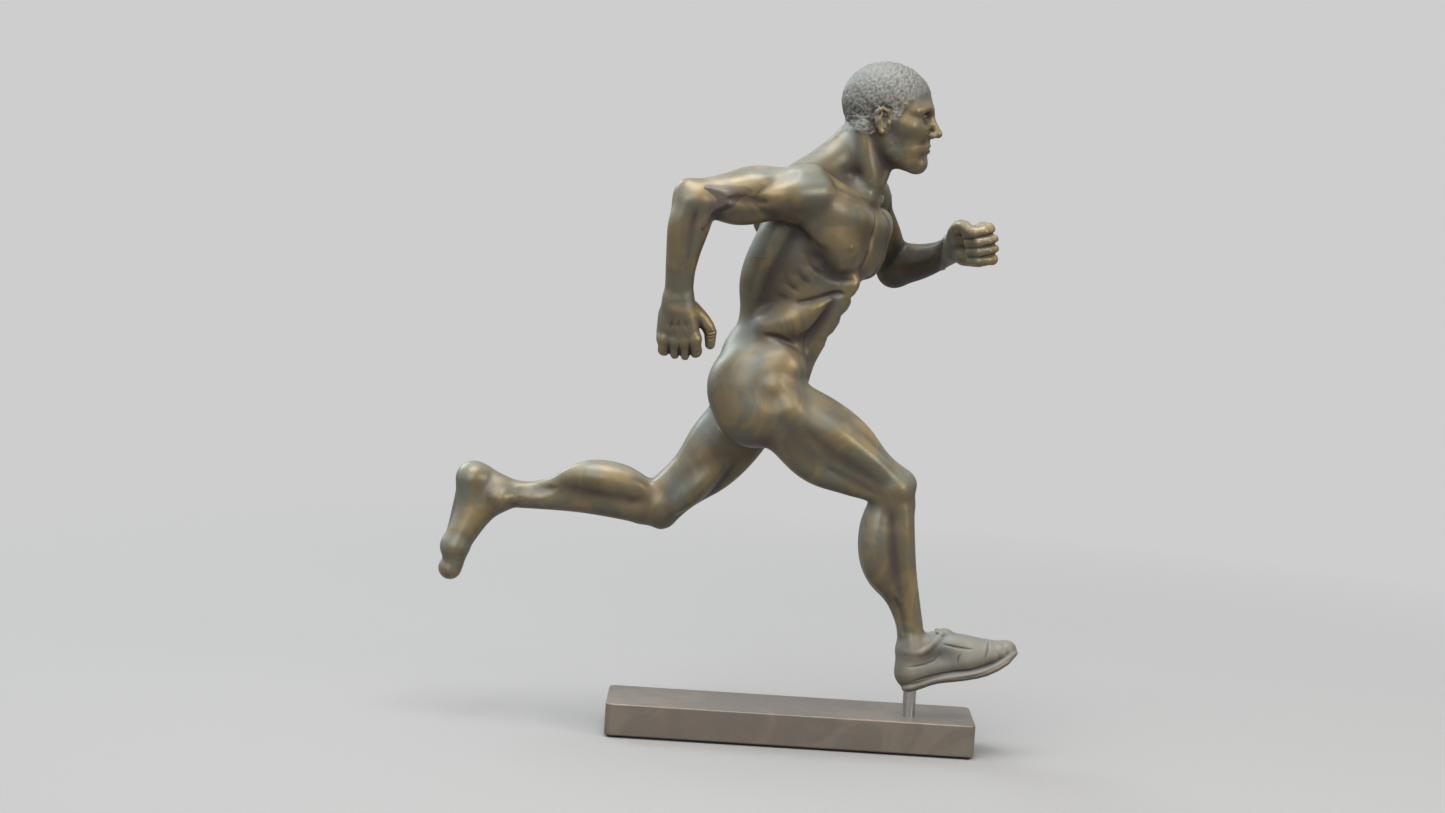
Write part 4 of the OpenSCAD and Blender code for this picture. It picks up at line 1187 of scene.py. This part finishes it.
class Net:
    """A node tree being wired up."""

    def __init__(self, tree: bpy.types.NodeTree) -> None:
        """Starts on an empty tree."""
        self.tree = tree
        tree.nodes.clear()

    def node(self, kind: str, inputs: Optional[dict] = None, **settings: object) -> bpy.types.Node:
        """A node with its settings and inputs, each a value or another node's output."""
        n = self.tree.nodes.new(kind)
        for key, value in settings.items():
            setattr(n, key, value)
        for key, value in (inputs or {}).items():
            if isinstance(value, bpy.types.NodeSocket):
                self.tree.links.new(value, n.inputs[key])
            else:
                n.inputs[key].default_value = value
        return n

    def noise(self, where: bpy.types.NodeSocket, scale: float, detail: float = 4.0,
              rough: float = 0.55, warp: float = 0.0) -> bpy.types.NodeSocket:
        """Fractal noise from 0 to 1."""
        return self.node("ShaderNodeTexNoise", {"Vector": where, "Scale": scale, "Detail": detail,
                                                "Roughness": rough, "Distortion": warp}).outputs["Fac"]

    def ramp(self, value: bpy.types.NodeSocket, low: float, high: float) -> bpy.types.NodeSocket:
        """A value stretched so that low becomes 0 and high becomes 1, and clipped."""
        return self.node("ShaderNodeMapRange", {"Value": value, "From Min": low, "From Max": high}).outputs[0]

    def math(self, how: str, a: object, b: object = 0.0) -> bpy.types.NodeSocket:
        """One sum."""
        return self.node("ShaderNodeMath", {0: a, 1: b}, operation=how, use_clamp=False).outputs[0]

    def sum(self, *terms: object) -> bpy.types.NodeSocket:
        """All the terms added up."""
        total = terms[0]
        for term in terms[1:]:
            total = self.math("ADD", total, term)
        return total

    def times(self, *terms: object) -> bpy.types.NodeSocket:
        """All the terms multiplied together."""
        product = terms[0]
        for term in terms[1:]:
            product = self.math("MULTIPLY", product, term)
        return product

    def mix(self, share: object, a: object, b: object) -> bpy.types.NodeSocket:
        """A mix of two colours."""
        return self.node("ShaderNodeMix", {0: share, 6: a, 7: b}, data_type="RGBA").outputs[2]


def socket_out(tree: bpy.types.NodeTree, name: str, kind: str) -> None:
    """Adds a named output to a node group."""
    tree.interface.new_socket(name, in_out="OUTPUT", socket_type=kind)


def socket_in(tree: bpy.types.NodeTree, name: str, value: object) -> None:
    """Adds a named input, a colour or a number, to a node group."""
    kind = "NodeSocketFloat" if isinstance(value, float) else "NodeSocketColor"
    tree.interface.new_socket(name, in_out="INPUT", socket_type=kind).default_value = value


def patina_group() -> bpy.types.NodeTree:
    """Bronze in ochre and grey-green clouds, dark patina in its hollows and worn on its crests, with painted
    shade on surfaces facing down and a painted pale highlight on surfaces facing up and back.
    """
    tree = bpy.data.node_groups.new("bronze_patina", "ShaderNodeTree")
    # The pale colour is the dull finish's own tone and also the colour of the painted highlight; the dark
    # colour is the patina in the hollows and also the painted shade on surfaces facing down.
    for name, value in (("Metal", (0.3, 0.22, 0.12, 1.0)), ("Worn", (0.6, 0.46, 0.24, 1.0)),
                        ("Dark", (0.05, 0.04, 0.03, 1.0)), ("Film_and_highlight", (0.2, 0.22, 0.21, 1.0)),
                        ("Verdigris", (0.15, 0.17, 0.14, 1.0)), ("Relief", 0.0), ("Dull", 0.0), ("Wear", 0.6),
                        ("Hollows", 0.8), ("Painted_highlight", 0.3), ("Clouds", 0.8), ("Sheen", 0.5), ("Matt", 0.3)):
        socket_in(tree, name, value)
    for name, kind in (("Color", "NodeSocketColor"), ("Roughness", "NodeSocketFloat"),
                       ("Height", "NodeSocketFloat"), ("Metallic", "NodeSocketFloat"),
                       ("Coat", "NodeSocketFloat")):
        socket_out(tree, name, kind)
    net = Net(tree)
    inp = net.node("NodeGroupInput").outputs
    where = net.node("ShaderNodeTexCoord").outputs["Object"]
    up = net.node("ShaderNodeSeparateXYZ", {0: net.node("ShaderNodeNewGeometry").outputs["Normal"]}).outputs
    blotch = net.noise(where, 60.0, 5.0, 0.62, 0.6)
    cloud = net.noise(where, 36.0, 3.0, 0.55, 1.2)
    fine = net.noise(where, 260.0, 4.0, 0.6)
    speck = net.noise(where, 1300.0, 2.0, 0.6)
    skin = net.math("SUBTRACT", 1.0, inp["Dull"])
    relief = net.sum(inp["Relief"], net.times(net.math("SUBTRACT", fine, 0.5), 0.24), -0.3)
    green = net.times(net.ramp(blotch, 0.45, 0.62), inp["Clouds"])
    ochre = net.times(net.ramp(cloud, 0.5, 0.62), inp["Clouds"], 0.8)
    metal = net.mix(ochre, net.mix(green, inp["Metal"], inp["Verdigris"]), inp["Worn"])
    metal = net.mix(net.times(inp["Dull"], 0.85), metal, net.mix(0.5, inp["Film_and_highlight"], inp["Dark"]))
    hollow = net.times(net.ramp(relief, -0.02, -0.8), inp["Hollows"])
    # painted shade: the more a surface faces down, the more it is mixed towards the dark colour
    below = net.times(net.ramp(up[2], 0.1, -0.9), 0.6)
    # the dark colour here stands for the patina in the hollows and for the painted shade on the undersides
    hollow_patina_and_painted_shade = net.mix(net.math("MINIMUM", net.sum(hollow, below), 1.0), metal, inp["Dark"])
    crest = net.times(net.ramp(relief, 0.05, 0.75), net.ramp(fine, 0.3, 0.62), inp["Wear"], skin)
    worn = net.mix(crest, hollow_patina_and_painted_shade, inp["Worn"])
    # painted highlight: surfaces facing up and back, towards the top and back lamps, are mixed in clouds
    # towards the pale colour, and made rougher and less metallic there
    faces_top_and_back_lamps = net.ramp(net.sum(net.times(up[0], -0.6), net.times(up[2], 0.7)), 0.0, 1.0)
    painted_highlight = net.times(faces_top_and_back_lamps, net.ramp(blotch, 0.2, 0.65), inp["Painted_highlight"])
    rough = net.sum(inp["Matt"], net.times(hollow, 0.14), net.times(painted_highlight, 0.2), net.times(fine, 0.2),
                    net.times(crest, -0.08), net.times(inp["Dull"], 0.15))
    metallic = net.sum(inp["Sheen"], net.times(hollow, -0.2), net.times(painted_highlight, -0.3),
                       net.times(inp["Dull"], -0.2))
    # the last mix lays the painted pale highlight over the worn bronze
    net.node("NodeGroupOutput", {
        "Color": net.mix(painted_highlight, worn, inp["Film_and_highlight"]), "Roughness": rough, "Metallic": metallic,
        "Height": net.sum(net.times(fine, 0.6), net.times(speck, 0.4)), "Coat": net.times(skin, 0.35)})
    return tree


@dataclass(frozen=True)
class Bronze:
    """A patinated bronze: its five colours and how strongly each effect shows."""

    name: str
    metal: Colour
    worn: Colour
    # the dark of the patina in the hollows, also used as the painted shade on surfaces facing down
    dark: Colour
    # the dull finish's pale grey, also used as the painted highlight's colour
    film_and_highlight: Colour
    verdigris: Colour
    wear: float
    hollows: float
    # how strongly the painted pale highlight shows on surfaces facing up and back
    painted_highlight: float
    clouds: float
    sheen: float
    matt: float
    bump: float

    def material(self, group: bpy.types.NodeTree) -> bpy.types.Material:
        """The finish as a material that reads each piece's own relief and dullness."""
        mat = bpy.data.materials.new(self.name)
        mat.use_nodes = True
        net = Net(mat.node_tree)
        patina = net.node("ShaderNodeGroup", node_tree=group)
        for key in ("metal", "worn", "dark", "film_and_highlight", "verdigris", "wear", "hollows", "painted_highlight", "clouds",
                    "sheen", "matt"):
            patina.inputs[key.capitalize()].default_value = getattr(self, key)
        for key in ("relief", "dull"):
            reading = net.node("ShaderNodeAttribute", attribute_name=key).outputs["Fac"]
            net.tree.links.new(reading, patina.inputs[key.capitalize()])
        bump = net.node("ShaderNodeBump", {"Height": patina.outputs["Height"], "Strength": self.bump,
                                           "Distance": 0.0004})
        shader = net.node("ShaderNodeBsdfPrincipled", {
            "Base Color": patina.outputs["Color"], "Roughness": patina.outputs["Roughness"],
            "Metallic": patina.outputs["Metallic"], "Normal": bump.outputs["Normal"],
            "Coat Weight": patina.outputs["Coat"], "Coat Roughness": 0.32})
        net.node("ShaderNodeOutputMaterial", {"Surface": shader.outputs[0]})
        return mat


@dataclass(frozen=True)
class Plain:
    """A plain finish with a little unevenness: steel or felt."""

    name: str
    colour: Colour
    second: Colour
    metallic: float
    roughness: float
    scale: float
    bump: float

    def material(self) -> bpy.types.Material:
        """The finish as a material."""
        mat = bpy.data.materials.new(self.name)
        mat.use_nodes = True
        net = Net(mat.node_tree)
        where = net.node("ShaderNodeTexCoord").outputs["Object"]
        cloud = net.noise(where, self.scale, 4.0)
        bump = net.node("ShaderNodeBump", {"Height": cloud, "Strength": self.bump, "Distance": 0.0003})
        shader = net.node("ShaderNodeBsdfPrincipled", {
            "Base Color": net.mix(net.ramp(cloud, 0.35, 0.65), self.colour, self.second),
            "Metallic": self.metallic, "Roughness": self.roughness, "Normal": bump.outputs["Normal"]})
        net.node("ShaderNodeOutputMaterial", {"Surface": shader.outputs[0]})
        return mat


# Both finishes get painted shade on surfaces facing down; the figure has a strong painted pale highlight on
# surfaces facing up and back, the base only a faint one.
FIGURE = Bronze(
    name="figure_bronze", metal=(0.2, 0.158, 0.085, 1), worn=(0.36, 0.26, 0.115, 1),
    dark=(0.06, 0.045, 0.045, 1), film_and_highlight=(0.33, 0.35, 0.335, 1), verdigris=(0.165, 0.18, 0.145, 1),
    wear=0.6, hollows=0.7, painted_highlight=0.6, clouds=0.85, sheen=0.45, matt=0.32, bump=0.12)
BASE = Bronze(
    name="base_bronze", metal=(0.21, 0.172, 0.14, 1), worn=(0.34, 0.28, 0.21, 1),
    dark=(0.13, 0.105, 0.088, 1), film_and_highlight=(0.2, 0.175, 0.165, 1), verdigris=(0.17, 0.165, 0.14, 1),
    wear=0.6, hollows=0.5, painted_highlight=0.1, clouds=0.4, sheen=0.45, matt=0.34, bump=0.1)
STEEL = Plain("steel", (0.56, 0.55, 0.53, 1), (0.48, 0.47, 0.46, 1), 1.0, 0.3, 900.0, 0.03)
FELT = Plain("felt", (0.03, 0.035, 0.033, 1), (0.018, 0.02, 0.02, 1), 0.0, 0.95, 2500.0, 0.5)


# ---- base, floor, light and camera ---------------------------------------------------------------


@dataclass(frozen=True)
class Base:
    """The plain bar: a block with rounded upright corners and softly broken edges."""

    corner: float = 0.0032
    edge: float = 0.0008

    def build(self) -> bpy.types.Object:
        """The bar in the place of its CAD node."""
        low, high = (Vector(v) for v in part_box("base_bar"))
        bm = bmesh.new()
        bmesh.ops.create_cube(bm, size=1.0)
        for v in bm.verts:
            v.co = Vector([high[i] if v.co[i] > 0 else low[i] for i in range(3)])
        upright = [e for e in bm.edges if abs(e.verts[0].co.z - e.verts[1].co.z) > 0.001]
        bmesh.ops.bevel(bm, geom=upright, affect="EDGES", offset=self.corner, segments=10, profile=0.5,
                        material=-1)
        level = {f for f in bm.faces if abs(f.normal.z) > 0.9}
        rims = [e for e in bm.edges if sum(f in level for f in e.link_faces) == 1]
        bmesh.ops.bevel(bm, geom=rims, affect="EDGES", offset=self.edge, segments=4, profile=0.5, material=-1)
        for f in bm.faces:
            f.smooth = True
        relief = bm.verts.layers.float.new("relief")
        mid, half = (low + high) / 2, (high - low) / 2
        for v in bm.verts:
            edge = sum(1 for i in range(3) if half[i] - abs(v.co[i] - mid[i]) < self.edge * 1.2)
            v[relief] = 0.4 if edge >= 2 else 0.0
        mesh = bpy.data.meshes.new("base_bar_cast")
        bm.to_mesh(mesh)
        bm.free()
        obj = bpy.data.objects.new("base_bar_cast", mesh)
        bpy.context.collection.objects.link(obj)
        weighted = obj.modifiers.new("normals", "WEIGHTED_NORMAL")
        weighted.keep_sharp = True
        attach(obj, "root")
        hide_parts("base_bar")
        LOG.info("base_bar: %d faces", len(mesh.polygons))
        return obj


@dataclass(frozen=True)
class Studio:
    """A pale floor, soft light from above and the side, and the camera."""

    focal: float = 72.6
    pitch: float = 6.0
    roll: float = 3.6
    eye: tuple[float, float, float] = (-0.04003, -1.3331, 0.29342)
    backdrop: float = 0.617
    pale: float = 0.395

    def build(self) -> None:
        """Sets the whole studio up."""
        self.floor()
        self.light("top", (-0.1, -0.25, 1.35), (0, 0, 0.16), 0.9, 13.0, (1.0, 0.99, 0.97))
        self.light("front", (-0.4, -2.1, 1.1), (0, 0, 0.17), 1.4, 14.0, (1.0, 1.0, 1.0))
        self.light("back", (-0.9, 0.9, 0.9), (-0.05, 0, 0.2), 0.7, 7.0, (0.8, 0.95, 1.0))
        self.light("side", (1.1, -0.7, 0.55), (0.0, 0, 0.2), 0.5, 4.5, (1.0, 0.9, 0.76))
        self.world()
        bpy.context.scene.view_settings.view_transform = "Standard"
        self.camera()

    def floor(self) -> None:
        """A large pale floor."""
        bm = bmesh.new()
        bmesh.ops.create_grid(bm, x_segments=2, y_segments=2, size=12.0)
        mesh = bpy.data.meshes.new("floor")
        bm.to_mesh(mesh)
        bm.free()
        obj = bpy.data.objects.new("floor", mesh)
        mesh.materials.append(self.floor_material())
        bpy.context.collection.objects.link(obj)

    def floor_material(self) -> bpy.types.Material:
        """Pale near the object, where shadows fall, and an even backdrop beyond."""
        mat = bpy.data.materials.new("floor")
        mat.use_nodes = True
        net = Net(mat.node_tree)
        where = net.node("ShaderNodeTexCoord").outputs["Object"]
        away = net.node("ShaderNodeVectorMath", {0: where}, operation="LENGTH").outputs["Value"]
        far = net.ramp(away, 0.25, 0.75)
        seen = net.node("ShaderNodeLightPath").outputs["Is Camera Ray"]
        near = net.mix(seen, (0.25, 0.25, 0.25, 1), (self.pale, self.pale * 0.985, self.pale * 0.975, 1))
        shader = net.node("ShaderNodeBsdfPrincipled", {
            "Base Color": net.mix(far, near, (0, 0, 0, 1)), "Roughness": 1.0, "Specular IOR Level": 0.0,
            "Emission Color": (self.backdrop, self.backdrop, self.backdrop, 1),
            "Emission Strength": net.times(far, net.sum(net.times(seen, 0.7), 0.3))})
        net.node("ShaderNodeOutputMaterial", {"Surface": shader.outputs[0]})
        return mat

    def light(self, name: str, where: Point, target: Point, size: float, power: float,
              colour: tuple[float, float, float]) -> None:
        """A square soft light aimed at a point."""
        data = bpy.data.lights.new(name, "AREA")
        data.size, data.energy, data.color = size, power, colour
        obj = bpy.data.objects.new(name, data)
        obj.location = where
        way = Vector(target) - Vector(where)
        obj.rotation_euler = way.to_track_quat("-Z", "Y").to_euler()
        bpy.context.collection.objects.link(obj)

    def world(self) -> None:
        """An even grey to the eye, and a soft sky that is brighter overhead to the metal."""
        world = bpy.data.worlds.new("sky")
        world.use_nodes = True
        bpy.context.scene.world = world
        net = Net(world.node_tree)
        path = net.node("ShaderNodeLightPath")
        way = net.node("ShaderNodeSeparateXYZ",
                       {0: net.node("ShaderNodeTexCoord").outputs["Generated"]}).outputs
        sky = net.mix(net.ramp(way[2], -0.1, 0.9), (0.3, 0.29, 0.28, 1), (0.8, 0.83, 0.86, 1))
        shade = net.mix(path.outputs["Is Camera Ray"], sky, (self.backdrop, self.backdrop, self.backdrop, 1))
        ground = net.node("ShaderNodeBackground", {"Color": shade, "Strength": 1.0})
        net.node("ShaderNodeOutputWorld", {"Surface": ground.outputs[0]})

    def camera(self) -> None:
        """A long lens, a little above the figure and turned a little about its own axis."""
        data = bpy.data.cameras.new("camera")
        data.lens, data.sensor_width = self.focal, 36.0
        obj = bpy.data.objects.new("camera", data)
        turn = (Matrix.Rotation(math.radians(90 - self.pitch), 4, "X")
                @ Matrix.Rotation(math.radians(self.roll), 4, "Z"))
        obj.matrix_world = Matrix.Translation(self.eye) @ turn
        bpy.context.collection.objects.link(obj)
        bpy.context.scene.camera = obj


def main() -> None:
    """Builds the trophy in its frame."""
    logging.basicConfig(level=logging.INFO, format="%(name)s %(message)s")
    group = patina_group()
    bronze, base_bronze = FIGURE.material(group), BASE.material(group)
    for piece in Figure().cast():
        piece.data.materials.append(bronze)
    Base().build().data.materials.append(base_bronze)
    steel, felt = STEEL.material(), FELT.material()
    for name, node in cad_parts.items():
        node.data.materials.clear()
        node.data.materials.append(felt if name == "base_pad" else steel)
    Studio().build()


if __name__ == "__main__":
    main()
